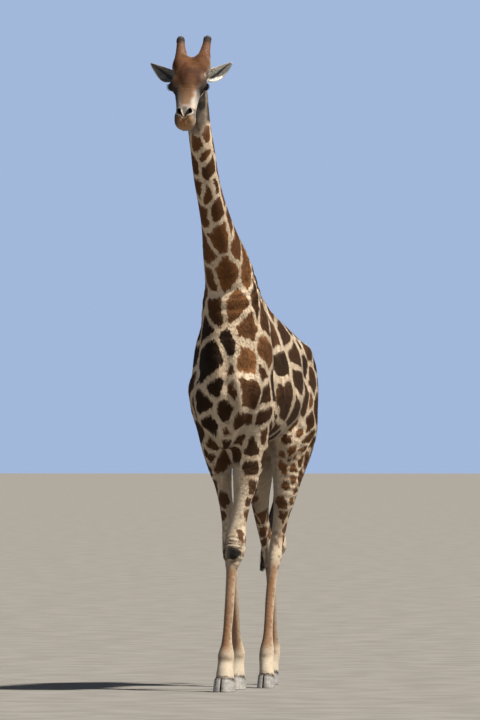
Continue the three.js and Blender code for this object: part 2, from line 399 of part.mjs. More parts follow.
function chainSolid(rows, around, steps, lateral) {
  const s = chain(rows, lateral, steps);
  return rings(s.map((r) => Array.from({ length: around }, (_, j) => {
    const a = (j / around) * 2 * Math.PI, c = Math.cos(a), q = Math.sin(a), h = q > 0 ? r.dp : r.dm;
    return r.c.clone().addScaledVector(r.l, r.w * (1 - r.k * q) * c).addScaledVector(r.n, h * q);
  })));
}

// ---- Pieces ------------------------------------------------------------------------------------------------------
const nodes = [];
const COLOURS = { coat: 0xa9672f, ossicone: 0x7c5836, eye: 0x0d0a08, hoof: 0x5f5c5b, hair: 0x1c1512, ear: 0xcdbfa6, lower: 0xcfb48c };
function node(name, s, colour, roughness = 0.85) {
  const m = s.getMesh();
  const g = new THREE.BufferGeometry();
  g.setAttribute("position", new THREE.BufferAttribute(new Float32Array(m.vertProperties), 3));
  g.setIndex(new THREE.BufferAttribute(new Uint32Array(m.triVerts), 1));
  g.computeVertexNormals();
  const made = new THREE.Mesh(g, new THREE.MeshStandardMaterial({ color: colour, roughness, metalness: 0 }));
  made.name = name;
  nodes.push(made);
  return s;
}

// Cut planes: [point, normal towards the outer piece].
const CUT = {
  neckBase: [[0, -0.12, 2.93], [0, -0.55, 0.83]],
  neckMid: [[0, -0.50, 3.60], [0, -0.64, 0.77]],
  neckTop: [[0, -0.95, 4.45], [0, -0.62, 0.78]],
  tail: [[-0.018, 1.822, 2.19], [-0.11, 0.24, -0.96]],
  elbow: 1.74, carpus: 0.93, stifle: 1.70, hock: 0.93,
};
const down = [0, 0, -1], up = [0, 0, 1];
const legs = [
  ["foreleg_left", FORE_L, CUT.elbow, CUT.carpus, 1], ["foreleg_right", FORE_R, CUT.elbow, CUT.carpus, 1],
  ["hindleg_left", HIND_L, CUT.stifle, CUT.hock, HOOF.hind], ["hindleg_right", HIND_R, CUT.stifle, CUT.hock, HOOF.hind],
];
const box = (lo, hi) => fromGeometry(new THREE.BoxGeometry(...[0, 1, 2].map((i) => (hi[i] - lo[i]) * mm)).translate(...[0, 1, 2].map((i) => ((hi[i] + lo[i]) / 2) * mm)));

// Trunk with the shoulders and thighs: everything above the elbow and stifle cuts, and behind the neck cut.
const torsoAll = mesh(body, [-0.50, -0.72, 1.50], [0.50, 2.0, 3.40], [0.090, 0.102, 0.094]);
const tailAll = chainSolid(TAIL, 8, 2);
let torso = keep(torsoAll.add(keep(tailAll, CUT.tail[0], away(CUT.tail[1]))), CUT.neckBase[0], away(CUT.neckBase[1]));
torso = torso.subtract(box([-1, -1, 1], [1, 0.44, CUT.elbow + GAP])).subtract(box([-1, 0.43, 1], [1, 2.2, CUT.stifle + GAP]));
node("trunk", largest(torso), COLOURS.coat);

// Neck, in two lengths.
const neckAll = mesh(body, [-0.38, -1.26, 2.60], [0.38, 0.62, 4.90], [0.050, 0.060, 0.100]);
const neckLow = largest(keep(keep(neckAll, CUT.neckBase[0], CUT.neckBase[1]), CUT.neckMid[0], away(CUT.neckMid[1])));
const neckHigh = largest(keep(keep(neckAll, CUT.neckMid[0], CUT.neckMid[1]), CUT.neckTop[0], away(CUT.neckTop[1])));

// Limbs: two lengths each, then the cloven hoof.
legs.forEach(([name, rows, top, mid, scale], index) => {
  const ends = [0, 1].map((i) => rows.filter((r) => r[2] < top + 0.25).map((r) => [r[i] - Math.max(r[3], r[4], r[5]), r[i] + Math.max(r[3], r[4], r[5])]));
  const lo = ends.map((e) => Math.min(...e.map((v) => v[0])) - 0.06), hi = ends.map((e) => Math.max(...e.map((v) => v[1])) + 0.06);
  const fine = mesh((x, y, z) => body(x, y, z, index), [lo[0], lo[1], -0.04], [hi[0], hi[1], top + 0.12], [0.033, 0.034, 0.092]);
  const foot = rows[rows.length - 2];
  const band = [[0, foot[1], HOOF.coronet], [0, HOOF.slope, 1]];
  node(name + "_upper", largest(keep(keep(fine, [0, 0, top], down), [0, 0, mid], up)), COLOURS.coat);
  node(name + "_lower", largest(keep(keep(fine, [0, 0, mid], down), ...band)), COLOURS.lower);
  // Two toes, flat underneath, straight along the cleft and rounded outside.
  for (const side of [-1, 1]) {
    const AROUND = 12;
    const outline = (share, rise) => Array.from({ length: AROUND }, (_, j) => {
      const a = (j / AROUND) * 2 * Math.PI, s = Math.sin(a), c = Math.cos(a);
      const across = c < 0 ? 0.26 - 0.26 * Math.abs(c) ** 0.4 : 0.26 + 0.74 * Math.abs(c) ** 0.8; // flat on the cleft's side
      const along = (s < 0 ? HOOF.toe : HOOF.back) * s * share * scale;
      return V(foot[0] + side * (HOOF.split + 2 * HOOF.halfWidth * share * scale * across), foot[1] - HOOF.forward * (1 - rise) + along, rise * HOOF.height);
    });
    const toe = rings([outline(1, 0), outline(0.985, 0.35), outline(0.94, 0.7), outline(0.88, 1.05)]);
    node(name + (side > 0 ? "_toe_left" : "_toe_right"), largest(keep(toe, band[0], away(band[1]))), COLOURS.hoof, 0.5);
  }
});

// Head, with sockets for the eyes, and what stands on it.
const headAll = mesh(body, [-0.36, -1.56, 4.02], [0.30, -0.76, 4.98], [0.030, 0.031, 0.031]);
let skull = keep(headAll, CUT.neckTop[0], CUT.neckTop[1]);
const eyes = [1, -1].map((side) => {
  const at = headPoint(EYE.a, EYE.b, side * EYE.c).multiplyScalar(mm);
  const ball = (r) => fromGeometry(new THREE.SphereGeometry(r * mm, 12, 8).translate(at.x, at.y, at.z));
  skull = skull.subtract(ball(EYE.r + SKIN_GAP));
  return ["eye_" + (side > 0 ? "left" : "right"), ball(EYE.r)];
});
// The head, neck and trunk a little larger, which the pieces set on them are cut back from.
const headFat = swell(headAll, SKIN_GAP), neckFat = swell(neckAll, SKIN_GAP), torsoFat = swell(torsoAll, SKIN_GAP);

for (const side of [1, -1]) {
  const name = side > 0 ? "left" : "right";
  // Ossicone: a turned horn with a swollen root and a blunt, worn knob.
  const L = OSSICONE.length, B = OSSICONE.base;
  const profile = [[0, -0.02], [B * 0.9, -0.02], [B, 0.03], [B * 0.86, 0.075], [OSSICONE.mid, 0.125], [OSSICONE.shaft, 0.175],
    [OSSICONE.knob, L - 0.035], [OSSICONE.knob * 0.97, L - 0.018], [OSSICONE.knob * 0.66, L - 0.004], [0, L]].map(([r, h]) => new THREE.Vector2(r * mm, h * mm));
  const axis = V(side * OSSICONE.splay + OSSICONE.lean[0], OSSICONE.lean[1], OSSICONE.lean[2]).normalize();
  const root = V(...OSSICONE.middle).addScaledVector(V(1, 0, 0), side * OSSICONE.apart);
  const place = new THREE.Matrix4().compose(root.clone().multiplyScalar(mm), new THREE.Quaternion().setFromUnitVectors(V(0, 1, 0), axis), V(1, 1, 1));
  const lathe = (rows) => fromGeometry(new THREE.LatheGeometry(rows, 12), place);
  const horn = lathe(profile);
  const hornFat = lathe(profile.map((v, i) => new THREE.Vector2(v.x && v.x + mm * SKIN_GAP * 2, v.y + (i < 2 ? -1 : i > 7 ? 1 : 0))));
  node("ossicone_" + name, largest((horn.volume() < 0 ? lathe([...profile].reverse()) : horn).subtract(headFat)), COLOURS.ossicone);
  // Ear: a leaf-shaped cup, open to the front.
  const out = V(side * Math.cos(EAR.rise * D), 0, Math.sin(EAR.rise * D));
  const aim = out.clone().multiplyScalar(Math.cos(EAR.sweep * D)).add(V(0, Math.sin(EAR.sweep * D), 0)).normalize();
  const face = V(0, -1, 0).addScaledVector(aim, aim.y).normalize(); // towards the opening
  const across = aim.clone().cross(face).normalize();
  const rootE = headPoint(EAR.a, EAR.b, side * EAR.c + EAR.aside);
  const list = [];
  for (let i = 0; i <= 8; i++) {
    const t = i / 8, w = Math.max(0.004, EAR.width * Math.sin(Math.PI * (0.16 + 0.84 * t)) ** 0.75 * (1 - 0.2 * t));
    const curl = 1.75 - 1.05 * t, r = w / Math.sin(Math.min(curl, Math.PI / 2));
    const c = rootE.clone().addScaledVector(aim, EAR.length * t).addScaledVector(face, -0.018 * Math.sin(Math.PI * t)).add(V(0, 0, -EAR.sag * Math.sin(Math.PI * t)));
    const N = 6, arc = (rad, j) => { const a = -curl + (2 * curl * j) / N; return c.clone().addScaledVector(across, rad * Math.sin(a)).addScaledVector(face, r * 0.7 - rad * Math.cos(a)); };
    list.push([...Array(N + 1).keys()].map((j) => arc(r + EAR.thick, j)).concat([...Array(N + 1).keys()].reverse().map((j) => arc(Math.max(r - EAR.thick * 0.6, r * 0.3), j))));
  }
  node("ear_" + name, largest(rings(list).subtract(headFat).subtract(hornFat)), COLOURS.ear);
}
eyes.forEach(([name, s]) => node(name, s, COLOURS.eye, 0.15));
node("head", largest(skull), COLOURS.coat);
node("neck_upper", neckHigh, COLOURS.coat);
node("neck_lower", neckLow, COLOURS.coat);

// Mane: a low crest along the nape from the poll to the withers, set on the neck.
const nape = chain(NECK, V(1, 0, 0), 1).slice(1, -1).map((s) => ({ c: s.c.clone().addScaledVector(s.n, -s.dm), l: s.l, n: s.n.clone().negate() }));
const crest = rings(nape.map((s, i) => {
  const t = i / (nape.length - 1), h = MANE_HEIGHT * Math.min(1, 0.35 + 5 * t, 0.5 + 6 * (1 - t)), w = MANE_HALF;
  return [[w, -0.03], [w, 0], [w * 0.75, h * 0.6], [w * 0.3, h], [-w * 0.3, h], [-w * 0.75, h * 0.6], [-w, 0], [-w, -0.03]]
    .map(([u, v]) => s.c.clone().addScaledVector(s.l, u).addScaledVector(s.n, v));
}));
const mane = crest.subtract(neckFat).subtract(headFat).subtract(torsoFat);
node("mane_lower", largest(keep(mane, CUT.neckMid[0], away(CUT.neckMid[1]))), COLOURS.hair);
node("mane_upper", largest(keep(mane, CUT.neckMid[0], CUT.neckMid[1])), COLOURS.hair);

// Tail and its tuft.
const JOIN = [[-0.159, 1.846, 1.455], [0.1, 0.03, 0.99]];
node("tail", largest(keep(keep(tailAll, CUT.tail[0], CUT.tail[1]), ...JOIN)), COLOURS.coat);
node("tail_tuft", largest(keep(chainSolid(TUFT, 12, 1), JOIN[0], away(JOIN[1]))), COLOURS.hair);

// The origin goes under the middle of the standing box.
const extent = new THREE.Box3();
for (const n of nodes) extent.expandByObject(n);
const middle = extent.getCenter(V(0, 0, 0));
const group = new THREE.Group();
for (const n of nodes) {
  n.geometry.translate(-middle.x, -middle.y, -extent.min.z);
  group.add(n);
}
export default group;
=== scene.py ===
"""A still, life-size model of a walking bull giraffe: the looks.

One skin is meshed from the same field of lofted sections that the solids come from, set in by the depth of the coat,
with the folds, lids, lips and nostrils added. The net of patches is a map of centres and widths over the body, and
skin and coat both read it. The coat, mane, tail tuft, lashes and ear hair are meshes of thin tufts.
"""

import math

import bpy
import numpy as np
from mathutils import Matrix, Vector


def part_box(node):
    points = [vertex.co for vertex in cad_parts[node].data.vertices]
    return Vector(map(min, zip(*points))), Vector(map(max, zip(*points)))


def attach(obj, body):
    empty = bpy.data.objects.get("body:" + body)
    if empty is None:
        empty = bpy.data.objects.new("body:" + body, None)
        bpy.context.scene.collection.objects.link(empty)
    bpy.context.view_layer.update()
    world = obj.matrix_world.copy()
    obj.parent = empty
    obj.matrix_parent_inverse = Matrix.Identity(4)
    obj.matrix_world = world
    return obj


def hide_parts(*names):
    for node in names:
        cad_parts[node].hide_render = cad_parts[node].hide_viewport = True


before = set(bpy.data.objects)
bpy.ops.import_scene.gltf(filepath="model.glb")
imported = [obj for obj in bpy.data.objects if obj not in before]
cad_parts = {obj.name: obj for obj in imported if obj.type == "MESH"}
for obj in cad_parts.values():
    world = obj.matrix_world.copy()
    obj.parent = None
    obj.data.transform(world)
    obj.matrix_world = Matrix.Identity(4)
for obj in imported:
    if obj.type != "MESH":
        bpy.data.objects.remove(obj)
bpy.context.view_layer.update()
rng = np.random.default_rng(1883)

# ---- Driving dimensions, in metres, as the solids have them ----------------------------------------------------------
HEAD_AT = np.array([-0.038, -1.054, 4.80])
HEAD_PITCH, HEAD_YAW = math.radians(57), math.radians(5)
EYE_A, EYE_B, EYE_C, EYE_R = 0.27, 0.0, 0.121, 0.029
HOOF = dict(height=0.115, half=0.0385, toe=0.132, back=0.112, split=0.0035, forward=0.020, coronet=0.088, slope=0.185, hind=0.81)
OSSICONE = dict(middle=(-0.0365, -1.06, 4.74), apart=0.0815, lean=(-0.0045, 0.08, 0.225), splay=0.0275, length=0.24, base=0.058, mid=0.0385, shaft=0.0315, knob=0.0315)
EAR = dict(a=0.136, b=-0.071, c=0.104, aside=-0.014, length=0.243, width=0.057, rise=28, sweep=9, sag=0.024, thick=0.0055)
MANE_HEIGHT = 0.055
COAT = 0.005  # the skin lies this far inside the solids on the body, and half of it on the head and feet

# Sections: [x, y, z, half width, depth on the +N side, depth on the -N side, taper of the width towards +N].
TRUNK = [
  [0, -0.36, 2.43, 0.12, 0.20, 0.20, 0.0], [0, -0.24, 2.43, 0.19, 0.38, 0.40, 0.1], [0, -0.05, 2.42, 0.25, 0.54, 0.56, 0.25],
  [0, 0.15, 2.41, 0.285, 0.63, 0.56, 0.34], [0, 0.40, 2.38, 0.322, 0.66, 0.52, 0.29], [0, 0.65, 2.36, 0.343, 0.60, 0.465, 0.24],
  [0, 0.90, 2.36, 0.343, 0.525, 0.395, 0.16], [0, 1.15, 2.36, 0.326, 0.455, 0.345, 0.09], [0, 1.35, 2.34, 0.293, 0.415, 0.28, 0.05],
  [0, 1.52, 2.31, 0.225, 0.330, 0.22, 0.02], [0, 1.63, 2.29, 0.14, 0.19, 0.16, 0],
]
NECK = [
  [0, 0.05, 2.60, 0.23, 0.42, 0.42, -0.1], [0, -0.02, 2.90, 0.225, 0.36, 0.43, -0.06], [0, -0.09, 3.134, 0.183, 0.28, 0.335, -0.12],
  [0, -0.31, 3.38, 0.143, 0.21, 0.235, -0.2], [0.000, -0.47, 3.57, 0.1135, 0.17, 0.17, -0.2], [-0.006, -0.63, 3.76, 0.097, 0.142, 0.145, -0.18],
  [-0.012, -0.745, 3.93, 0.094, 0.132, 0.140, -0.13], [-0.015, -0.83, 4.107, 0.092, 0.125, 0.135, -0.08], [-0.020, -0.90, 4.258, 0.086, 0.118, 0.122, -0.06],
  [-0.027, -0.95, 4.47, 0.085, 0.115, 0.112, -0.04], [-0.033, -0.985, 4.62, 0.083, 0.09, 0.095, 0], [-0.037, -1.02, 4.71, 0.075, 0.06, 0.07, 0],
]
FORE_L = [
  [0.155, 0.13, 2.82, 0.07, 0.14, 0.13, 0], [0.195, 0.05, 2.62, 0.088, 0.19, 0.18, 0], [0.20, -0.03, 2.42, 0.095, 0.22, 0.20, 0],
  [0.20, -0.05, 2.24, 0.105, 0.22, 0.20, 0], [0.187, 0.00, 2.06, 0.106, 0.18, 0.16, 0], [0.148, 0.00, 1.88, 0.127, 0.14, 0.13, 0],
  [0.124, -0.035, 1.72, 0.121, 0.112, 0.11, 0], [0.112, -0.065, 1.58, 0.097, 0.095, 0.093, 0], [0.093, -0.10, 1.42, 0.069, 0.078, 0.078, 0],
  [0.071, -0.13, 1.28, 0.071, 0.070, 0.074, 0], [0.062, -0.155, 1.18, 0.084, 0.068, 0.080, 0], [0.059, -0.185, 1.08, 0.090, 0.072, 0.087, 0],
  [0.052, -0.205, 1.00, 0.070, 0.058, 0.066, 0], [0.044, -0.225, 0.92, 0.044, 0.050, 0.049, 0], [0.046, -0.26, 0.78, 0.040, 0.047, 0.045, 0],
  [0.048, -0.30, 0.63, 0.040, 0.047, 0.044, 0], [0.046, -0.345, 0.45, 0.038, 0.045, 0.041, 0], [0.047, -0.368, 0.345, 0.048, 0.052, 0.048, 0],
  [0.047, -0.385, 0.275, 0.065, 0.070, 0.060, 0], [0.048, -0.405, 0.205, 0.062, 0.066, 0.060, 0], [0.051, -0.43, 0.13, 0.070, 0.078, 0.080, 0],
  [0.052, -0.44, 0.09, 0.072, 0.088, 0.092, 0],
]
FORE_R = [
  [-0.155, 0.13, 2.82, 0.07, 0.14, 0.13, 0], [-0.20, 0.04, 2.62, 0.088, 0.19, 0.18, 0], [-0.20, -0.04, 2.42, 0.095, 0.22, 0.20, 0],
  [-0.21, -0.08, 2.24, 0.105, 0.22, 0.20, 0], [-0.19, -0.01, 2.06, 0.102, 0.18, 0.16, 0], [-0.142, 0.01, 1.88, 0.114, 0.14, 0.13, 0],
  [-0.113, 0.02, 1.73, 0.098, 0.112, 0.11, 0], [-0.090, 0.03, 1.59, 0.070, 0.09, 0.09, 0], [-0.071, 0.04, 1.45, 0.056, 0.078, 0.078, 0],
  [-0.050, 0.05, 1.30, 0.057, 0.070, 0.072, 0], [-0.040, 0.062, 1.18, 0.066, 0.068, 0.076, 0], [-0.035, 0.080, 1.07, 0.074, 0.070, 0.084, 0],
  [-0.034, 0.095, 0.985, 0.058, 0.058, 0.064, 0], [-0.034, 0.110, 0.91, 0.043, 0.050, 0.049, 0], [-0.035, 0.135, 0.78, 0.040, 0.047, 0.045, 0],
  [-0.035, 0.165, 0.63, 0.040, 0.047, 0.044, 0], [-0.035, 0.205, 0.45, 0.038, 0.045, 0.041, 0], [-0.035, 0.232, 0.345, 0.048, 0.052, 0.048, 0],
  [-0.036, 0.247, 0.275, 0.063, 0.068, 0.060, 0], [-0.038, 0.238, 0.205, 0.061, 0.066, 0.060, 0], [-0.041, 0.228, 0.13, 0.070, 0.078, 0.080, 0],
  [-0.042, 0.225, 0.09, 0.072, 0.088, 0.092, 0],
]
HIND_L = [
  [0.132, 1.38, 2.49, 0.148, 0.20, 0.21, 0], [0.170, 1.295, 2.26, 0.152, 0.26, 0.30, 0], [0.188, 1.20, 2.05, 0.160, 0.27, 0.29, 0],
  [0.170, 1.13, 1.87, 0.155, 0.245, 0.24, 0], [0.154, 1.09, 1.74, 0.140, 0.195, 0.19, 0], [0.148, 1.055, 1.61, 0.111, 0.150, 0.14, 0],
  [0.132, 1.035, 1.46, 0.086, 0.115, 0.102, 0], [0.103, 1.045, 1.32, 0.063, 0.095, 0.082, 0], [0.085, 1.055, 1.22, 0.057, 0.088, 0.070, 0],
  [0.072, 1.05, 1.14, 0.057, 0.090, 0.066, 0], [0.066, 1.04, 1.07, 0.060, 0.085, 0.066, 0], [0.060, 1.00, 0.97, 0.052, 0.064, 0.058, 0],
  [0.057, 0.955, 0.86, 0.042, 0.052, 0.046, 0], [0.056, 0.89, 0.68, 0.040, 0.047, 0.041, 0], [0.060, 0.835, 0.52, 0.038, 0.046, 0.040, 0],
  [0.064, 0.795, 0.39, 0.042, 0.048, 0.042, 0], [0.065, 0.765, 0.30, 0.056, 0.056, 0.052, 0], [0.066, 0.745, 0.235, 0.059, 0.062, 0.056, 0],
  [0.073, 0.718, 0.17, 0.056, 0.062, 0.060, 0], [0.080, 0.700, 0.115, 0.059, 0.072, 0.072, 0], [0.082, 0.695, 0.085, 0.059, 0.075, 0.076, 0],
]
HIND_R = [
  [-0.132, 1.38, 2.49, 0.148, 0.20, 0.21, 0], [-0.170, 1.30, 2.26, 0.152, 0.26, 0.30, 0], [-0.186, 1.24, 2.05, 0.158, 0.26, 0.29, 0],
  [-0.160, 1.22, 1.87, 0.148, 0.235, 0.235, 0], [-0.141, 1.24, 1.74, 0.125, 0.185, 0.18, 0], [-0.134, 1.29, 1.61, 0.100, 0.140, 0.13, 0],
  [-0.150, 1.365, 1.46, 0.076, 0.108, 0.096, 0], [-0.155, 1.435, 1.32, 0.058, 0.090, 0.078, 0], [-0.150, 1.485, 1.22, 0.052, 0.086, 0.070, 0],
  [-0.140, 1.525, 1.14, 0.055, 0.088, 0.066, 0], [-0.128, 1.545, 1.07, 0.059, 0.082, 0.066, 0], [-0.119, 1.555, 0.97, 0.052, 0.062, 0.058, 0],
  [-0.113, 1.562, 0.86, 0.042, 0.052, 0.046, 0], [-0.110, 1.580, 0.68, 0.040, 0.047, 0.041, 0], [-0.113, 1.602, 0.52, 0.038, 0.046, 0.040, 0],
  [-0.116, 1.625, 0.39, 0.042, 0.048, 0.042, 0], [-0.118, 1.640, 0.30, 0.056, 0.056, 0.052, 0], [-0.119, 1.636, 0.235, 0.059, 0.062, 0.056, 0],
  [-0.123, 1.624, 0.17, 0.057, 0.062, 0.060, 0], [-0.128, 1.612, 0.115, 0.062, 0.074, 0.074, 0], [-0.129, 1.608, 0.085, 0.062, 0.078, 0.080, 0],
]
TAIL = [
  [0, 1.62, 2.45, 0.055, 0.055, 0.055, 0], [0, 1.72, 2.41, 0.045, 0.045, 0.045, 0], [-0.004, 1.785, 2.31, 0.036, 0.036, 0.036, 0],
  [-0.020, 1.825, 2.18, 0.028, 0.028, 0.028, 0], [-0.05, 1.85, 2.03, 0.023, 0.023, 0.023, 0], [-0.08, 1.86, 1.88, 0.020, 0.020, 0.020, 0],
  [-0.13, 1.855, 1.63, 0.0165, 0.0165, 0.0165, 0], [-0.160, 1.845, 1.45, 0.0145, 0.0145, 0.0145, 0],
]
TUFT = [
  [-0.158, 1.846, 1.465, 0.0165, 0.0165, 0.0165, 0], [-0.163, 1.843, 1.42, 0.020, 0.019, 0.019, 0], [-0.172, 1.838, 1.34, 0.027, 0.025, 0.025, 0],
  [-0.187, 1.834, 1.24, 0.040, 0.034, 0.034, 0], [-0.206, 1.830, 1.13, 0.052, 0.040, 0.040, 0], [-0.228, 1.826, 1.03, 0.050, 0.037, 0.037, 0],
  [-0.247, 1.822, 0.94, 0.032, 0.025, 0.025, 0], [-0.258, 1.820, 0.88, 0.014, 0.012, 0.012, 0],
]
SKULL = [
  [0.025, -0.012, 0.086, 0.070, 0.028, 0.0], [0.08, -0.003, 0.114, 0.092, 0.055, 0.05], [0.15, 0.000, 0.123, 0.105, 0.078, 0.1],
  [0.22, 0.000, 0.121, 0.105, 0.080, 0.12], [0.30, -0.005, 0.106, 0.095, 0.073, 0.12], [0.37, -0.010, 0.093, 0.080, 0.064, 0.1],
  [0.44, -0.015, 0.081, 0.062, 0.062, 0.05], [0.51, -0.018, 0.077, 0.052, 0.062, 0.0], [0.556, -0.020, 0.080, 0.047, 0.060, -0.05],
  [0.588, -0.026, 0.070, 0.042, 0.052, -0.05], [0.610, -0.032, 0.050, 0.034, 0.042, 0.0], [0.622, -0.036, 0.028, 0.024, 0.028, 0.0],
]
JAW = [
  [0.09, -0.090, 0.074, 0.060, 0.05, 0.2], [0.17, -0.110, 0.077, 0.072, 0.06, 0.25], [0.25, -0.105, 0.072, 0.068, 0.06, 0.25],
  [0.33, -0.090, 0.062, 0.054, 0.05, 0.25], [0.41, -0.075, 0.055, 0.040, 0.04, 0.2], [0.50, -0.066, 0.050, 0.030, 0.03, 0.1],
  [0.565, -0.062, 0.043, 0.028, 0.03, 0.0], [0.595, -0.058, 0.028, 0.024, 0.026, 0.0],
]
MUSCLES = [
  [0.0, 0.36, 2.96, 0.130, 0.30, 0.105, 0.08], # withers
  [0.105, -0.34, 2.21, 0.115, 0.10, 0.21, 0.07], [-0.105, -0.34, 2.21, 0.115, 0.10, 0.21, 0.07], # breast
  [0.0, -0.27, 1.97, 0.07, 0.14, 0.13, 0.10], # breastbone
  [0.200, -0.23, 2.30, 0.085, 0.080, 0.12, 0.07], [-0.200, -0.25, 2.30, 0.082, 0.080, 0.12, 0.07], # points of the shoulders
  [0.240, 0.10, 2.15, 0.070, 0.13, 0.17, 0.07], [-0.240, 0.10, 2.15, 0.070, 0.13, 0.17, 0.07], # triceps
  [0.160, 0.135, 1.93, 0.045, 0.045, 0.07, 0.05], [-0.155, 0.145, 1.93, 0.045, 0.045, 0.07, 0.05], # points of the elbows
  [0.165, 0.20, 2.70, 0.060, 0.14, 0.20, 0.07], [-0.165, 0.20, 2.70, 0.060, 0.14, 0.20, 0.07], # shoulder blades
  [0.235, 1.24, 2.59, 0.060, 0.100, 0.075, 0.07], [-0.235, 1.24, 2.59, 0.060, 0.100, 0.075, 0.07], # hip bones
  [0.100, 1.63, 2.31, 0.060, 0.070, 0.07, 0.06], [-0.100, 1.63, 2.31, 0.060, 0.070, 0.07, 0.06], # seat bones
  [0.186, 0.905, 1.90, 0.062, 0.060, 0.12, 0.09], [-0.192, 1.010, 1.90, 0.062, 0.060, 0.12, 0.09], # knee caps
  [0.170, 1.33, 1.95, 0.075, 0.13, 0.22, 0.08], [-0.178, 1.38, 1.95, 0.075, 0.13, 0.22, 0.08], # back of the thighs
  [0.084, 1.165, 1.115, 0.034, 0.046, 0.085, 0.05], [-0.150, 1.640, 1.115, 0.032, 0.042, 0.080, 0.05], # points of the hocks
  [0.061, -0.258, 1.075, 0.050, 0.026, 0.055, 0.03], [-0.036, 0.008, 1.065, 0.048, 0.026, 0.055, 0.03], # fronts of the knees
  [0.062, -0.112, 1.11, 0.026, 0.026, 0.05, 0.03], [-0.037, 0.142, 1.095, 0.026, 0.026, 0.05, 0.03], # backs of the knees
  [0.047, -0.325, 0.285, 0.040, 0.028, 0.04, 0.03], [-0.036, 0.305, 0.285, 0.040, 0.028, 0.04, 0.03], # backs of the fore fetlocks
  [0.066, 0.812, 0.285, 0.038, 0.028, 0.04, 0.03], [-0.108, 1.690, 0.285, 0.038, 0.028, 0.04, 0.03], # backs of the hind fetlocks
  [0.0, 1.08, 1.895, 0.034, 0.085, 0.085, 0.05], # sheath
  [0.42, 0.98, 2.42, 0.075, 0.10, 0.13, -0.10], [-0.42, 0.98, 2.42, 0.075, 0.10, 0.13, -0.10], # flank hollows
]
HEAD_PARTS = [
  [0.200, 0.052, 0, 0.095, 0.042, 0.052, 0.045], # bump of the forehead
  [0.072, 0.012, 0.078, 0.070, 0.050, 0.050, 0.04], # roots of the ossicones
  [0.265, 0.008, 0.096, 0.064, 0.050, 0.048, 0.035], # rims of the eye sockets
  [0.210, -0.080, 0.070, 0.090, 0.062, 0.034, 0.04], # cheeks
  [0.115, -0.062, 0.092, 0.045, 0.042, 0.034, 0.03], # roots of the ears
  [0.577, -0.030, 0.034, 0.044, 0.038, 0.038, 0.03], # upper lip
  [0.552, 0.010, 0.046, 0.050, 0.030, 0.030, 0.025], # nostril swellings
  [0.583, -0.070, 0.0, 0.040, 0.024, 0.036, 0.025], # chin
]


# ---- The field -------------------------------------------------------------------------------------------------------
def unit(v):
    v = np.asarray(v, float)
    return v / np.maximum(np.linalg.norm(v, axis=-1, keepdims=True), 1e-12)


def ramp(lo, hi, v):
    t = np.clip((v - lo) / (hi - lo), 0, 1)
    return t * t * (3 - 2 * t)


HEADING = np.array([math.sin(HEAD_YAW), -math.cos(HEAD_YAW), 0.0])
E_A = HEADING * math.cos(HEAD_PITCH) + np.array([0, 0, -math.sin(HEAD_PITCH)])
E_B = HEADING * math.sin(HEAD_PITCH) + np.array([0, 0, math.cos(HEAD_PITCH)])
E_C = np.array([math.cos(HEAD_YAW), math.sin(HEAD_YAW), 0.0])
LEFT = np.array([1.0, 0, 0])


def head_point(a, b, c):
    return HEAD_AT + E_A * a + E_B * b + E_C * c


def in_head(P):
    q = P - HEAD_AT
    return q @ E_A, q @ E_B, q @ E_C


low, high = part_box("eye_left")
SHIFT = (np.array(low) + np.array(high)) / 2 - head_point(EYE_A, EYE_B, EYE_C)  # from the body's axes to the frame's
SHIFT[2] = 0.0


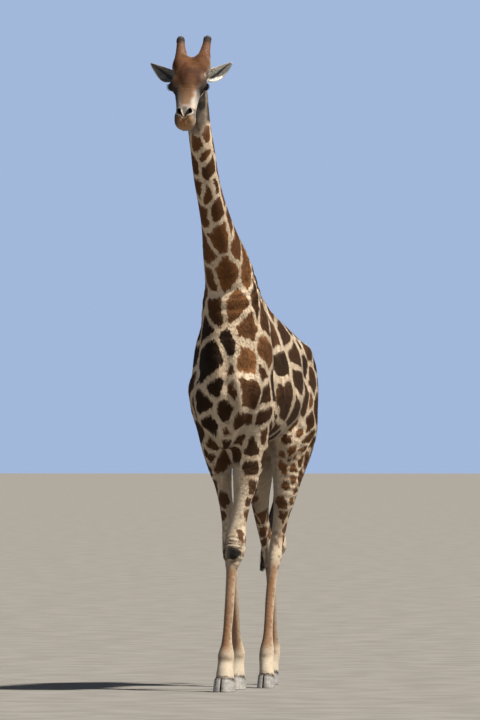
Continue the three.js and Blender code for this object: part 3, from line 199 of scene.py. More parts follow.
class Chain:
    """Sections resampled smoothly, with the frame at each sample, and the distance field round them."""

    def __init__(self, rows, lateral=LEFT, steps=3, power=2.0):
        R, last, out = np.array(rows, float), len(rows) - 1, []
        for i in range(last):
            p0, p1, p2, p3 = R[max(i - 1, 0)], R[i], R[i + 1], R[min(i + 2, last)]
            for s in range(steps):
                t = s / steps
                out.append(0.5 * (2 * p1 + (p2 - p0) * t + (2 * p0 - 5 * p1 + 4 * p2 - p3) * t * t + (3 * p1 - p0 - 3 * p2 + p3) * t**3))
        out.append(R[last])
        S = np.array(out)
        self.c, self.w, self.dp, self.dm, self.k = S[:, :3], S[:, 3], S[:, 4], S[:, 5], S[:, 6]
        n = len(S)
        self.t = unit(self.c[np.minimum(np.arange(n) + 1, n - 1)] - self.c[np.maximum(np.arange(n) - 1, 0)])
        self.l = unit(lateral - (self.t @ lateral)[:, None] * self.t)
        self.n = np.cross(self.l, self.t)
        self.s = np.concatenate([[0], np.cumsum(np.linalg.norm(np.diff(self.c, axis=0), axis=1))])
        self.power = power
        self.reach = np.maximum(np.maximum(self.w, self.dp), self.dm)

    def field(self, P, margin=0.22, where=False):
        """Distance to the sections' surface; with where, also length along, side and depth shares, and the frame."""
        best = np.full(len(P), 9.0)
        if where:
            along, U, W = np.zeros(len(P)), np.zeros(len(P)), np.zeros(len(P))
            T = np.zeros((len(P), 3))
        zlo, zhi = P[:, 2].min(), P[:, 2].max()
        for i in range(len(self.c) - 1):
            a, b = self.c[i], self.c[i + 1]
            r = max(self.reach[i], self.reach[i + 1]) + margin
            if min(a[2], b[2]) - r > zhi or max(a[2], b[2]) + r < zlo:
                continue
            mid, half = (a + b) / 2, np.linalg.norm(b - a) / 2
            q = P - mid
            near = np.nonzero(np.einsum("ij,ij->i", q, q) < (r + half) ** 2)[0]
            if not len(near):
                continue
            p, d = P[near], b - a
            f = np.clip(((p - a) @ d) / (d @ d), 0, 1)
            q = p - a - f[:, None] * d
            rough = np.sqrt(np.einsum("ij,ij->i", q, q))
            mix = lambda x: x[i] + (x[i + 1] - x[i]) * (f if x.ndim == 1 else f[:, None])
            n, l, t = unit(mix(self.n)), unit(mix(self.l)), unit(mix(self.t))
            u, v, s = np.einsum("ij,ij->i", q, l), np.einsum("ij,ij->i", q, n), np.einsum("ij,ij->i", q, t)
            w, dp, dm, k = mix(self.w), mix(self.dp), mix(self.dm), mix(self.k)
            h = np.where(v > 0, dp, dm)
            we = w * (1 - k * np.clip(v / h, -1 if self.power == 2.0 else -0.25, 1))
            cap = np.minimum(np.minimum(w, dp), dm)
            if self.power == 2.0:
                across = (u / we) ** 2 + (v / h) ** 2
            else:
                across = (np.abs(u / we) ** self.power + np.abs(v / h) ** self.power) ** (2 / self.power)
            rho = np.sqrt(across + (s / cap) ** 2)
            dist = np.where(rho < 1e-6, -cap, rough * (1 - 1 / np.maximum(rho, 1e-6)))
            better = dist < best[near]
            got = near[better]
            best[got] = dist[better]
            if where:
                along[got] = (self.s[i] + f * half * 2)[better]
                U[got], W[got] = (u / we)[better], (v / h)[better]
                T[got] = t[better]
        return (best, along, U, W, T) if where else best


def ellipsoid(P, c, r, axes=None):
    q = P - np.asarray(c)
    u = q if axes is None else np.stack([q @ a for a in axes], axis=1)
    rho = np.sqrt(((u / np.asarray(r)) ** 2).sum(1))
    return np.where(rho < 1e-6, -min(r), np.linalg.norm(q, axis=1) * (1 - 1 / np.maximum(rho, 1e-6)))


def smin(a, b, k):
    h = np.maximum(k - np.abs(a - b), 0) / k
    return np.minimum(a, b) - h * h * k * 0.25


def smax(a, b, k):
    return -smin(-a, -b, k)


def capsule(P, a, b, r):
    a, b = np.asarray(a, float), np.asarray(b, float)
    f = np.clip(((P - a) @ (b - a)) / ((b - a) @ (b - a)), 0, 1)
    return np.linalg.norm(P - a - f[:, None] * (b - a), axis=1) - (r if np.isscalar(r) else r[0] + (r[1] - r[0]) * f)


trunk, neck = Chain(TRUNK, power=2.3), Chain(NECK)
limbs = [Chain(r) for r in (FORE_L, FORE_R, HIND_L, HIND_R)]
tail = Chain(TAIL, steps=2)
skull = Chain([list(head_point(r[0], r[1], 0)) + r[2:] for r in SKULL], lateral=E_C)
jaw = Chain([list(head_point(r[0], r[1], 0)) + r[2:] for r in JAW], lateral=E_C)
HEAD_PARTS = [q for r in HEAD_PARTS for q in ([r, r[:2] + [-r[2]] + r[3:]] if r[2] else [r])]


def head_field(P):
    d = smin(skull.field(P), jaw.field(P), 0.03)
    for a, b, c, ra, rb, rc, k in HEAD_PARTS:
        d = smin(d, ellipsoid(P, head_point(a, b, c), (ra, rb, rc), (E_A, E_B, E_C)), k)
    return d


def low_body(P):
    """The body's field below 3.9 m."""
    z = P[:, 2]
    d = smin(neck.field(P), trunk.field(P), 0.14)
    k = 0.015 + 0.07 * ramp(1.45, 1.80, z)
    for f in limbs:
        d = smin(d, f.field(P), k)
    for x, y, h, rx, ry, rz, km in MUSCLES:
        r = max(rx, ry, rz) + 0.15
        near = np.nonzero((np.abs(P[:, 0] - x) < r) & (np.abs(P[:, 1] - y) < r) & (np.abs(z - h) < r))[0]
        if len(near):
            e = ellipsoid(P[near], (x, y, h), (rx, ry, rz))
            d[near] = smin(d[near], e, km) if km > 0 else smax(d[near], -e, -km)
    return d


def body(P, size=24000):
    """The body's field anywhere, worked out in slabs of points that lie near each other in height."""
    out = np.empty(len(P))
    for f, part in ((low_body, P[:, 2] <= 3.9), (lambda Q: smin(neck.field(Q), head_field(Q), 0.06), P[:, 2] > 3.9)):
        idx = np.nonzero(part)[0]
        idx = idx[np.argsort(P[idx, 2], kind="stable")]
        for i in range(0, len(idx), size):
            out[idx[i : i + size]] = f(P[idx[i : i + size]])
    return out


# ---- Details of the skin, in the field -------------------------------------------------------------------------------
EYE_OUT = {s: unit(E_A * 0.42 + E_B * 0.30 + E_C * s * 0.86) for s in (1, -1)}  # where each eye looks
EYE_AT = {s: head_point(EYE_A, EYE_B, s * EYE_C) for s in (1, -1)}


def eye_axes(s):
    """Along the slit towards the nose, up towards the brow, and out of the head."""
    out = EYE_OUT[s]
    slit = unit(E_A * 0.93 - E_B * 0.36 - out * ((E_A * 0.93 - E_B * 0.36) @ out))
    up = np.cross(slit, out) * -s
    return slit, unit(up if up @ E_B > 0 else -up), out


def slit_height(h, v):
    """How far the lids stand open at h along the slit: more above than below."""
    return np.where(v > 0, 0.0158, 0.0118) * np.clip(1 - (h / 0.0255) ** 2, 0, 1) ** 0.62


def lids(P, d):
    for s in (1, -1):  # the face falls in before the eye, so that the eye shows from the front
        hollow = EYE_AT[s] + E_A * 0.082 + E_B * 0.002 + E_C * s * 0.036
        near = np.nonzero(np.linalg.norm(P - hollow, axis=1) < 0.10)[0]
        if len(near):
            d[near] = smax(d[near], 0.040 - np.linalg.norm(P[near] - hollow, axis=1), 0.03)
    for s in (1, -1):
        near = np.nonzero(np.linalg.norm(P - EYE_AT[s], axis=1) < 0.085)[0]
        if not len(near):
            continue
        q = P[near] - EYE_AT[s]
        slit, up, out = eye_axes(s)
        h, v, o = q @ slit, q @ up, q @ out
        r = np.linalg.norm(q, axis=1)
        e = d[near]
        # A hollow round the ball, a brow over it, then the lids as a shell round the ball with thicker rims.
        ring = np.sqrt((h / 1.25) ** 2 + v**2)
        e = e + 0.0050 * np.exp(-(((ring - 0.031) / 0.0065) ** 2)) * np.where(v > 0, 0.75, 0.55)
        e = smin(e, r - EYE_R - 0.0048, 0.010)
        e = e + 0.0022 * np.exp(-(((v - slit_height(h, np.ones_like(h)) - 0.0085) / 0.0016) ** 2)) * (np.abs(h) < 0.03)
        e = e + 0.0016 * np.exp(-(((v + slit_height(h, -np.ones_like(h)) + 0.0075) / 0.0014) ** 2)) * (np.abs(h) < 0.027)
        e = e + 0.0014 * np.exp(-(((v + slit_height(h, -np.ones_like(h)) + 0.0135) / 0.0016) ** 2)) * (np.abs(h) < 0.030)
        gap = np.maximum(np.abs(v) - slit_height(h, v), -o - 0.002)
        e = smax(e, -gap, 0.004)
        d[near] = e
    return d


NOSTRIL = (0.535, 0.040, 0.0375)  # along the face, up, aside


def nose_and_mouth(P, d):
    a, b, c = in_head(P)
    near = np.nonzero((a > 0.40) & (np.abs(c) < 0.13) & (np.abs(b) < 0.16))[0]
    if not len(near):
        return d
    a, b, c, e = a[near], b[near], c[near], d[near]
    side = np.abs(c)
    # Nostrils: slanted slits that close towards the lip, with a raised rim, widest behind.
    u = a - NOSTRIL[0]
    v = side - NOSTRIL[2] + 0.30 * u
    w = b - NOSTRIL[1] + 0.25 * (side - NOSTRIL[2])
    rim = (np.sqrt((u / 0.041) ** 2 + (v / 0.0225) ** 2 + (w / 0.022) ** 2) - 1) * 0.0215
    e = smin(e, rim, 0.012)
    bend = v + 12.0 * u * u - 0.003
    hole = (np.sqrt((u / 0.0295) ** 2 + (bend / (0.0128 - 0.10 * u)) ** 2 + ((w - 0.012) / 0.034) ** 2) - 1) * 0.010
    e = smax(e, -hole, 0.004)
    # A furrow from between the nostrils down the upper lip.
    e = e + 0.0035 * np.exp(-((side / 0.005) ** 2)) * ramp(0.54, 0.58, a)
    # The mouth's line, falling to its corner, and the fold behind the corner.
    line = -0.052 - 0.055 * np.clip(0.60 - a, 0, 1) ** 1.0 + 0.010 * np.cos((a - 0.45) * 22)
    e = e + 0.0060 * np.exp(-(((b - line) / 0.0034) ** 2)) * ramp(0.435, 0.475, a)
    e = e - 0.0030 * np.exp(-(((b - line - 0.011) / 0.006) ** 2)) * ramp(0.45, 0.50, a)
    e = e - 0.0025 * np.exp(-(((b - line + 0.010) / 0.005) ** 2)) * ramp(0.47, 0.52, a)
    for k in range(3):
        e = e + 0.0015 * np.exp(-(((a - 0.435 + 0.012 * k + 0.5 * (b - line) ** 2 * 20) / 0.0030) ** 2)) * np.exp(-(((b - line) / 0.030) ** 2))
    d[near] = e
    return d


CARVED = [  # furrows of the body: ends, radii, blend
    ((0.055, -0.436, 2.70), (0.088, -0.466, 2.32), (0.034, 0.050), 0.045), ((0.088, -0.466, 2.32), (0.094, -0.378, 1.85), (0.050, 0.050), 0.05),  # down the breast
    ((0.282, 0.17, 2.70), (0.322, 0.16, 2.30), (0.036, 0.050), 0.05), ((0.322, 0.16, 2.30), (0.298, 0.13, 2.00), (0.050, 0.040), 0.05),  # behind the left shoulder
    ((-0.282, 0.17, 2.70), (-0.322, 0.16, 2.30), (0.036, 0.050), 0.05), ((-0.322, 0.16, 2.30), (-0.298, 0.13, 2.00), (0.050, 0.040), 0.05),
    ((0.262, -0.16, 2.66), (0.290, -0.20, 2.45), (0.016, 0.022), 0.05), ((-0.262, -0.18, 2.66), (-0.290, -0.22, 2.45), (0.016, 0.022), 0.05),  # before the blade
]


def skin(P):
    d = body(P)
    z = P[:, 2]
    d = d + COAT * (1 - 0.5 * ramp(4.1, 4.3, z) - 0.5 * (1 - ramp(0.25, 0.5, z)))
    back = np.nonzero((P[:, 1] > 1.45) & (z > 1.3) & (z < 2.7))[0]
    if len(back):
        d[back] = smin(d[back], tail.field(P[back]) + 0.002, 0.03)
    for a, b, r, k in CARVED:
        lo, hi = np.minimum(a, b) - 0.22, np.maximum(a, b) + 0.22
        near = np.nonzero(((P > lo) & (P < hi)).all(1))[0]
        if len(near):
            d[near] = smax(d[near], -capsule(P[near], a, b, r), k)
    knee = np.nonzero((z > 0.94) & (z < 1.28) & (P[:, 1] < 0.20))[0]
    for kx, ky, kz, much in ((0.050, -0.262, 1.050, 1.0), (-0.036, 0.015, 1.045, 0.6)) if len(knee) else ():
        q = P[knee] - np.array([kx, ky, kz])
        near = np.exp(-((q[:, 0] / 0.10) ** 4)) * (1 - ramp(0.0, 0.09, q[:, 1])) * (np.abs(q[:, 0]) < 0.15) * much
        bow = q[:, 2] + 2.5 * q[:, 0] ** 2
        for fold in (0.052, 0.074, 0.096, 0.122):
            d[knee] += near * 0.0085 * np.exp(-(((bow - fold) / 0.0060) ** 2)) - near * 0.0050 * np.exp(-(((bow - fold - 0.011) / 0.008) ** 2))
        d[knee] += near * (0.0080 * np.exp(-(((bow + 0.050) / 0.008) ** 2)) - 0.0060 * np.exp(-(((bow + 0.018) / 0.022) ** 2)))
    feet = np.nonzero(z < 0.25)[0]
    for i, f in enumerate(limbs):
        if not len(feet):
            break
        x, y = f.c[-2][:2]
        n = unit(np.array([0, HOOF["slope"], 1.0]))
        mine = feet[(np.abs(P[feet, 0] - x) < 0.13) & (np.abs(P[feet, 1] - y) < 0.18)]
        if len(mine):
            d[mine] = smax(d[mine], -((P[mine] - np.array([x, y, HOOF["coronet"] - 0.006])) @ n), 0.012)
    top = np.nonzero(z > 4.05)[0]
    if len(top):
        crown = top[z[top] > 4.55]
        for s in (1, -1) if len(crown) else ():
            root, axis = horn_axis(s)
            d[crown] = smin(d[crown], capsule(P[crown], root - axis * 0.02, root + axis * 0.105, (0.063, 0.038)), 0.06)
        d[top] = lids(P[top], nose_and_mouth(P[top], d[top]))
    return d


# ---- Meshing ---------------------------------------------------------------------------------------------------------
def nets(f, lo, hi, h, block=4):
    """Surface nets on a grid, worked out only where a coarser grid lies near the surface. Open where the surface leaves the grid."""
    lo = np.asarray(lo, float)
    nb = np.ceil((np.asarray(hi) - lo) / (h * block) - 1e-6).astype(int)
    n = nb * block + 1
    g = np.stack(np.meshgrid(*[np.arange(k + 1) for k in nb], indexing="ij"), -1).reshape(-1, 3)
    dc = f(lo + g * h * block).reshape(nb + 1)
    corner = [dc[i : i + nb[0], j : j + nb[1], k : k + nb[2]] for i in (0, 1) for j in (0, 1) for k in (0, 1)]
    mark = np.min(np.abs(corner), 0) < 1.35 * h * block
    val = np.ones(n, np.float32)
    far = np.where(dc[:-1, :-1, :-1] < 0, -1.0, 1.0).astype(np.float32)
    val[:-1, :-1, :-1] = far.repeat(block, 0).repeat(block, 1).repeat(block, 2)
    step = np.stack(np.meshgrid(*[np.arange(block + 1)] * 3, indexing="ij"), -1).reshape(-1, 3)
    pts = (np.argwhere(mark)[:, None, :] * block + step[None]).reshape(-1, 3)
    flat = np.unique((pts[:, 0] * n[1] + pts[:, 1]) * n[2] + pts[:, 2])
    pts = np.stack([flat // (n[1] * n[2]), flat // n[2] % n[1], flat % n[2]], 1)
    val.reshape(-1)[flat] = f(lo + pts * h)
    inside = val < 0
    count = sum(inside[i : n[0] - 1 + i, j : n[1] - 1 + j, k : n[2] - 1 + k].astype(np.uint8) for i in (0, 1) for j in (0, 1) for k in (0, 1))
    cells = np.argwhere((count > 0) & (count < 8))
    total, hits = np.zeros((len(cells), 3)), np.zeros(len(cells))
    for axis in range(3):
        for u in (0, 1):
            for w in (0, 1):
                o = np.zeros(3, int)
                o[(axis + 1) % 3], o[(axis + 2) % 3] = u, w
                p = o.copy()
                p[axis] = 1
                va, vb = val[tuple((cells + o).T)], val[tuple((cells + p).T)]
                cut = (va < 0) != (vb < 0)
                t = np.where(cut, va / np.where(cut, va - vb, 1), 0)
                total += np.where(cut[:, None], o + (p - o) * t[:, None], 0)
                hits += cut
    V = lo + (cells + total / hits[:, None]) * h
    index = np.full(n - 1, -1, np.int32)
    index[tuple(cells.T)] = np.arange(len(cells))
    quads = []
    for axis in range(3):
        u, w = (axis + 1) % 3, (axis + 2) % 3
        one = np.zeros(3, int)
        one[axis] = 1
        a = inside[: n[0] - one[0], : n[1] - one[1], : n[2] - one[2]]
        b = inside[one[0] :, one[1] :, one[2] :]
        e = np.argwhere(a != b)
        e = e[(e[:, u] > 0) & (e[:, w] > 0) & (e[:, u] < n[u] - 1) & (e[:, w] < n[w] - 1)]
        ring = []
        for s, t in ((1, 1), (0, 1), (0, 0), (1, 0)):
            c = e.copy()
            c[:, u] -= s
            c[:, w] -= t
            ring.append(index[tuple(c.T)])
        q = np.stack(ring, 1)
        turn = ~a[tuple(e.T)]
        q[turn] = q[turn][:, ::-1]
        quads.append(q)
    Q = np.concatenate(quads)
    p = V[Q]
    short = np.linalg.norm(p[:, 0] - p[:, 2], axis=1) < np.linalg.norm(p[:, 1] - p[:, 3], axis=1)
    F = np.concatenate([np.where(short[:, None], Q[:, [0, 1, 2]], Q[:, [1, 2, 3]]), np.where(short[:, None], Q[:, [0, 2, 3]], Q[:, [1, 3, 0]])])
    return V, F


def vertex_normals(V, F):
    p = V[F]
    n = np.cross(p[:, 1] - p[:, 0], p[:, 2] - p[:, 0])
    out = np.stack([np.bincount(F.ravel(), np.repeat(n[:, i], 3), len(V)) for i in range(3)], 1)
    return unit(out)


def edges_of(F):
    e = np.sort(np.concatenate([F[:, [0, 1]], F[:, [1, 2]], F[:, [2, 0]]]), axis=1)
    key = e[:, 0].astype(np.int64) * (F.max() + 1) + e[:, 1]
    keys, first, back, count = np.unique(key, return_index=True, return_inverse=True, return_counts=True)
    return e[first], back.reshape(3, -1).T, count


def smooth(values, E, n, rounds, keep=0.5, mask=None):
    """Values evened out over the mesh's edges."""
    deg = np.bincount(E.ravel(), minlength=n)[:, None]
    v = values if values.ndim > 1 else values[:, None]
    for _ in range(rounds):
        s = np.stack([np.bincount(E[:, 0], v[E[:, 1], i], n) + np.bincount(E[:, 1], v[E[:, 0], i], n) for i in range(v.shape[1])], 1)
        m = keep * v + (1 - keep) * s / np.maximum(deg, 1)
        v = m if mask is None else np.where(mask[:, None], m, v)
    return v if values.ndim > 1 else v[:, 0]


def settle(V, F, f, rounds=2, mask=None):
    """Moves vertices along their normals onto the surface."""
    V = V.copy()
    for _ in range(rounds):
        N = vertex_normals(V, F)
        idx = np.arange(len(V)) if mask is None else np.nonzero(mask)[0]
        d = f(V[idx])
        g = (f(V[idx] + N[idx] * 0.0015) - d) / 0.0015
        V[idx] -= N[idx] * np.clip(d / np.where(np.abs(g) < 0.35, 0.35 * np.where(g < 0, -1, 1), g), -0.006, 0.006)[:, None]
    return V


def zip_up(V, F, low, high):
    """Joins two open loops, one above the other, that go round the same axis."""
    E, _, count = edges_of(F)
    rim = np.unique(E[count == 1])
    a, b = rim[(V[rim, 2] < low) & (V[rim, 2] > low - 0.05)], rim[(V[rim, 2] > low) & (V[rim, 2] < high + 0.05)]
    mid = V[b].mean(0)
    turn = lambda r: np.arctan2(V[r, 1] - mid[1], V[r, 0] - mid[0])
    a, b = a[np.argsort(turn(a))], b[np.argsort(turn(b))]
    ta, tb = np.append(turn(a), turn(a)[0] + 2 * math.pi), np.append(turn(b), turn(b)[0] + 2 * math.pi)
    i = j = 0
    out = []
    while i < len(a) or j < len(b):
        if j >= len(b) or (i < len(a) and ta[i + 1] <= tb[j + 1]):
            out.append((a[i % len(a)], a[(i + 1) % len(a)], b[j % len(b)]))
            i += 1
        else:
            out.append((a[i % len(a)], b[(j + 1) % len(b)], b[j % len(b)]))
            j += 1
    return np.concatenate([F, np.array(out, F.dtype)])


def refine(V, F, want):
    """Splits the edges that are longer than wanted where they lie, without leaving a gap."""
    E, side, _ = edges_of(F)
    long = np.linalg.norm(V[E[:, 0]] - V[E[:, 1]], axis=1) > want((V[E[:, 0]] + V[E[:, 1]]) / 2)
    new = np.cumsum(long) - 1 + len(V)
    V = np.concatenate([V, (V[E[long, 0]] + V[E[long, 1]]) / 2])
    m = long[side]
    cut = m.sum(1)
    out = [F[cut == 0]]
    g, s = F[cut == 3], new[side[cut == 3]]
    out += [np.stack(x, 1) for x in ((g[:, 0], s[:, 0], s[:, 2]), (s[:, 0], g[:, 1], s[:, 1]), (s[:, 2], s[:, 1], g[:, 2]), (s[:, 0], s[:, 1], s[:, 2]))]
    for k in range(3):
        i, j, l = k, (k + 1) % 3, (k + 2) % 3
        one = (cut == 1) & m[:, k]
        g, s = F[one], new[side[one][:, k]]
        out += [np.stack((g[:, i], s, g[:, l]), 1), np.stack((s, g[:, j], g[:, l]), 1)]
        two = (cut == 2) & m[:, k] & m[:, j]
        g, s, t = F[two], new[side[two][:, k]], new[side[two][:, j]]
        out += [np.stack((s, g[:, j], t), 1), np.stack((g[:, i], s, t), 1), np.stack((g[:, i], t, g[:, l]), 1)]
    return V, np.concatenate(out)


def build_skin():
    joint, h, fine = 4.14, 0.011, 0.005
    lo = np.array([-0.46, -1.10, joint - 96 * 4 * h])
    V1, F1 = nets(skin, lo, (0.46, 2.02, joint), h)
    V2, F2 = nets(skin, (-0.30, -1.56, joint), (0.24, -0.62, 4.98), fine)
    V, F = np.concatenate([V1, V2]), np.concatenate([F1, F2 + len(V1)])
    F = zip_up(V, F, joint, joint + 0.03)
    V = settle(V, F, skin, 2)
    E, _, _ = edges_of(F)
    soft = (V[:, 2] < joint + 0.1) & (V[:, 2] > 0.14)
    for _ in range(9):  # evens out the sections without thinning the limbs
        V = smooth(V, E, len(V), 1, 0.5, soft)
        V = smooth(V, E, len(V), 1, 1.53, soft)

    def want(p):
        w = np.full(len(p), 9.0)
        for s in (1, -1):
            w = np.minimum(w, np.where(np.linalg.norm(p - EYE_AT[s], axis=1) < 0.048, 0.0034, 9))
        a, b, c = in_head(p)
        w = np.minimum(w, np.where((a > 0.485) & (b > 0.0) & (b < 0.08) & (np.abs(c) < 0.075), 0.0046, 9))
        w = np.minimum(w, np.where((a > 0.43) & (b > -0.12) & (b < -0.03), 0.0046, 9))
        return w

    for _ in range(2):
        V, F = refine(V, F, want)
        near = np.zeros(len(V), bool)
        near[V[:, 2] > 4.2] = True
        V = settle(V, F, skin, 1, near)
    E, _, _ = edges_of(F)
    head = V[:, 2] > 4.2
    V = smooth(V, E, len(V), 1, 0.6, head)
    V = settle(V, F, skin, 1, head)
    return V, F


# ---- Blender helpers -------------------------------------------------------------------------------------------------
def make(name, V, F, material, smooth_shaded=True, body="root", shift=True):
    """A mesh of triangles, given in the body's axes, that rides on the body."""
    V = np.asarray(V, float) + (SHIFT if shift else 0)
    F = np.asarray(F, np.int64)
    me = bpy.data.meshes.new(name)
    me.vertices.add(len(V))
    me.vertices.foreach_set("co", V.astype(np.float32).ravel())
    me.loops.add(F.size)
    me.loops.foreach_set("vertex_index", F.ravel().astype(np.int32))
    me.polygons.add(len(F))
    me.polygons.foreach_set("loop_start", np.arange(0, F.size, F.shape[1], dtype=np.int32))
    me.polygons.foreach_set("use_smooth", np.full(len(F), smooth_shaded))
    me.update(calc_edges=True)
    me.validate()
    o = bpy.data.objects.new(name, me)
    bpy.context.scene.collection.objects.link(o)
    me.materials.append(material)
    if body:
        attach(o, body)
    return o


def paint(o, name, values):
    """A value or a colour for each vertex."""
    values = np.asarray(values, np.float32)
    if values.ndim == 1:
        o.data.attributes.new(name, "FLOAT", "POINT").data.foreach_set("value", values)
    else:
        rgba = np.concatenate([values, np.ones((len(values), 1), np.float32)], 1)
        o.data.attributes.new(name, "FLOAT_COLOR", "POINT").data.foreach_set("color", rgba.ravel())


class Shader:
    """A node material written as calls."""

    def __init__(self, name, **sockets):
        self.m = bpy.data.materials.new(name)
        self.m.use_nodes = True
        self.t = self.m.node_tree
        self.t.nodes.clear()
        self.out = self.t.nodes.new("ShaderNodeOutputMaterial")
        self.b = self.t.nodes.new("ShaderNodeBsdfPrincipled")
        self.t.links.new(self.b.outputs[0], self.out.inputs[0])
        for k, v in sockets.items():
            self.b.inputs[k.replace("_", " ")].default_value = v

    def add(self, kind, inputs=(), **props):
        n = self.t.nodes.new("ShaderNode" + kind)
        for k, v in props.items():
            setattr(n, k, v)
        for k, v in dict(inputs).items():
            if isinstance(v, bpy.types.NodeSocket):
                self.t.links.new(v, n.inputs[k])
            else:
                n.inputs[k].default_value = v
        return n

    def value(self, name):
        return self.add("Attribute", attribute_name=name).outputs["Fac"]

    def colour(self, name):
        return self.add("Attribute", attribute_name=name).outputs["Color"]

    def place(self):
        return self.add("TexCoord").outputs["Object"]

    def stretch(self, v, scale, turn=(0, 0, 0)):
        return self.add("Mapping", {"Vector": v, "Scale": scale, "Rotation": turn}).outputs[0]

    def noise(self, v, scale, detail=3.0, rough=0.55, colour=False):
        n = self.add("TexNoise", {"Vector": v, "Scale": scale, "Detail": detail, "Roughness": rough})
        return n.outputs["Color" if colour else "Fac"]

    def maths(self, op, a, b=0.0, c=0.0, clamp=False):
        return self.add("Math", {0: a, 1: b, 2: c}, operation=op, use_clamp=clamp).outputs[0]

    def fit(self, v, a, b, c=0.0, d=1.0, smooth=True):
        return self.add("MapRange", {"Value": v, "From Min": a, "From Max": b, "To Min": c, "To Max": d}, interpolation_type="SMOOTHSTEP" if smooth else "LINEAR").outputs[0]

    def mix(self, f, a, b, blend="MIX"):
        n = self.t.nodes.new("ShaderNodeMix")
        n.data_type, n.blend_type = "RGBA", blend
        for i, v in ((0, f), (6, a), (7, b)):
            if isinstance(v, bpy.types.NodeSocket):
                self.t.links.new(v, n.inputs[i])
            else:
                n.inputs[i].default_value = v if i == 0 else (*v, 1.0)
        return n.outputs[2]

    def bump(self, h, distance, strength=1.0, under=None):
        ins = {"Height": h, "Distance": distance, "Strength": strength}
        if under is not None:
            ins["Normal"] = under
        return self.add("Bump", ins).outputs[0]

    def to(self, socket, v):
        if isinstance(v, bpy.types.NodeSocket):
            self.t.links.new(v, self.b.inputs[socket])
        else:
            self.b.inputs[socket].default_value = v
        return self


# ---- Where a point lies on the animal --------------------------------------------------------------------------------
TRUNK_, NECK_, HEAD_, TAIL_ = 0, 1, 6, 7  # and 2 to 5 for the limbs


def locate(P):
    """Region, share of its length, turn round it from 0 to 1, and the way its hair lies."""
    chains = [trunk, neck, *limbs, skull, tail]
    best = np.full(len(P), 9.0)
    region, along, turn = np.zeros(len(P), int), np.zeros(len(P)), np.zeros(len(P))
    lie = np.zeros((len(P), 3))
    order = np.argsort(P[:, 2], kind="stable")
    z = P[:, 2]
    for i, c in enumerate(chains):
        for start in range(0, len(P), 24000):
            idx = order[start : start + 24000]
            if c.c[:, 2].min() - 0.9 > z[idx].max() or c.c[:, 2].max() + 0.9 < z[idx].min():
                continue
            d, s, u, w, t = c.field(P[idx], 0.4, True)
            if i in (2, 3, 4, 5):
                d = d + 0.03 * ramp(1.75, 2.1, z[idx]) + 0.5 * ramp(2.35, 2.55, z[idx])
            if i == HEAD_:
                d = d - 0.03
            if i == TAIL_:
                d = np.where(z[idx] < 2.38, d - 0.02, 9)
            got = d < best[idx]
            g = idx[got]
            best[g], region[g], along[g] = d[got], i, s[got] / c.s[-1]
            turn[g] = np.arctan2(w[got], u[got]) / (2 * math.pi) % 1.0
            way = t[got] * (-1 if i in (NECK_, HEAD_) else 1)
            if i == TRUNK_:
                way = way + np.array([0, 0, -0.45])
            if i == NECK_:
                way = way + np.array([0, 0.25, 0])
            lie[g] = unit(way)
    return region, along, turn, lie


# ---- Markings --------------------------------------------------------------------------------------------------------
def hashed(ix, iy, iz, seed):
    h = (ix.astype(np.uint32) * np.uint32(73856093)) ^ (iy.astype(np.uint32) * np.uint32(19349663)) ^ (iz.astype(np.uint32) * np.uint32(83492791)) ^ np.uint32(seed * 2654435 % 4294967295)
    h = (h ^ (h >> np.uint32(13))) * np.uint32(1274126177)
    h = (h ^ (h >> np.uint32(16))) * np.uint32(2246822519)
    return ((h ^ (h >> np.uint32(15))) & np.uint32(0xFFFFFF)).astype(float) / 0x7FFFFF - 1


def noise(P, size, seed=0):
    """Smooth noise from -1 to 1, with bumps about size metres apart."""
    q = P / size + 1000.0
    i = np.floor(q).astype(np.int64)
    f = q - i
    f = f * f * f * (f * (f * 6 - 15) + 10)
    out = np.zeros(len(P))
    for a in (0, 1):
        for b in (0, 1):
            for c in (0, 1):
                w = np.where(a, f[:, 0], 1 - f[:, 0]) * np.where(b, f[:, 1], 1 - f[:, 1]) * np.where(c, f[:, 2], 1 - f[:, 2])
                out += w * hashed(i[:, 0] + a, i[:, 1] + b, i[:, 2] + c, seed)
    return out


def noise3(P, size, seed):
    return np.stack([noise(P, size, seed + k) for k in range(3)], 1)


def patch_size(P):
    """How far apart the patches' centres lie: largest on the shoulders, smallest on the legs and high on the neck."""
    x, y, z = P.T
    low = np.interp(z, [0.85, 1.1, 1.4, 1.7, 2.0, 2.3], [0.045, 0.060, 0.085, 0.120, 0.160, 0.200])
    up = np.interp(z, [2.3, 2.8, 3.3, 3.7, 4.2, 4.7], [0.195, 0.20, 0.205, 0.175, 0.115, 0.080])
    s = np.where(z < 2.3, low, up)
    s = s * (1 - 0.18 * ramp(1.15, 1.6, y) * (z > 1.7))
    a, b, c = in_head(P)
    return np.where((z > 4.15) & (a > -0.02) & (y < -1.0), 0.05, s)


def gap_half(P):
    """Half the width of the pale net between the patches."""
    x, y, z = P.T
    g = np.interp(z, [1.0, 1.6, 2.0, 2.5, 3.0, 3.6, 4.3], [0.0085, 0.0115, 0.0165, 0.0205, 0.0185, 0.0155, 0.0120])
    return g * (1 - 0.25 * ramp(0.6, 1.4, y))


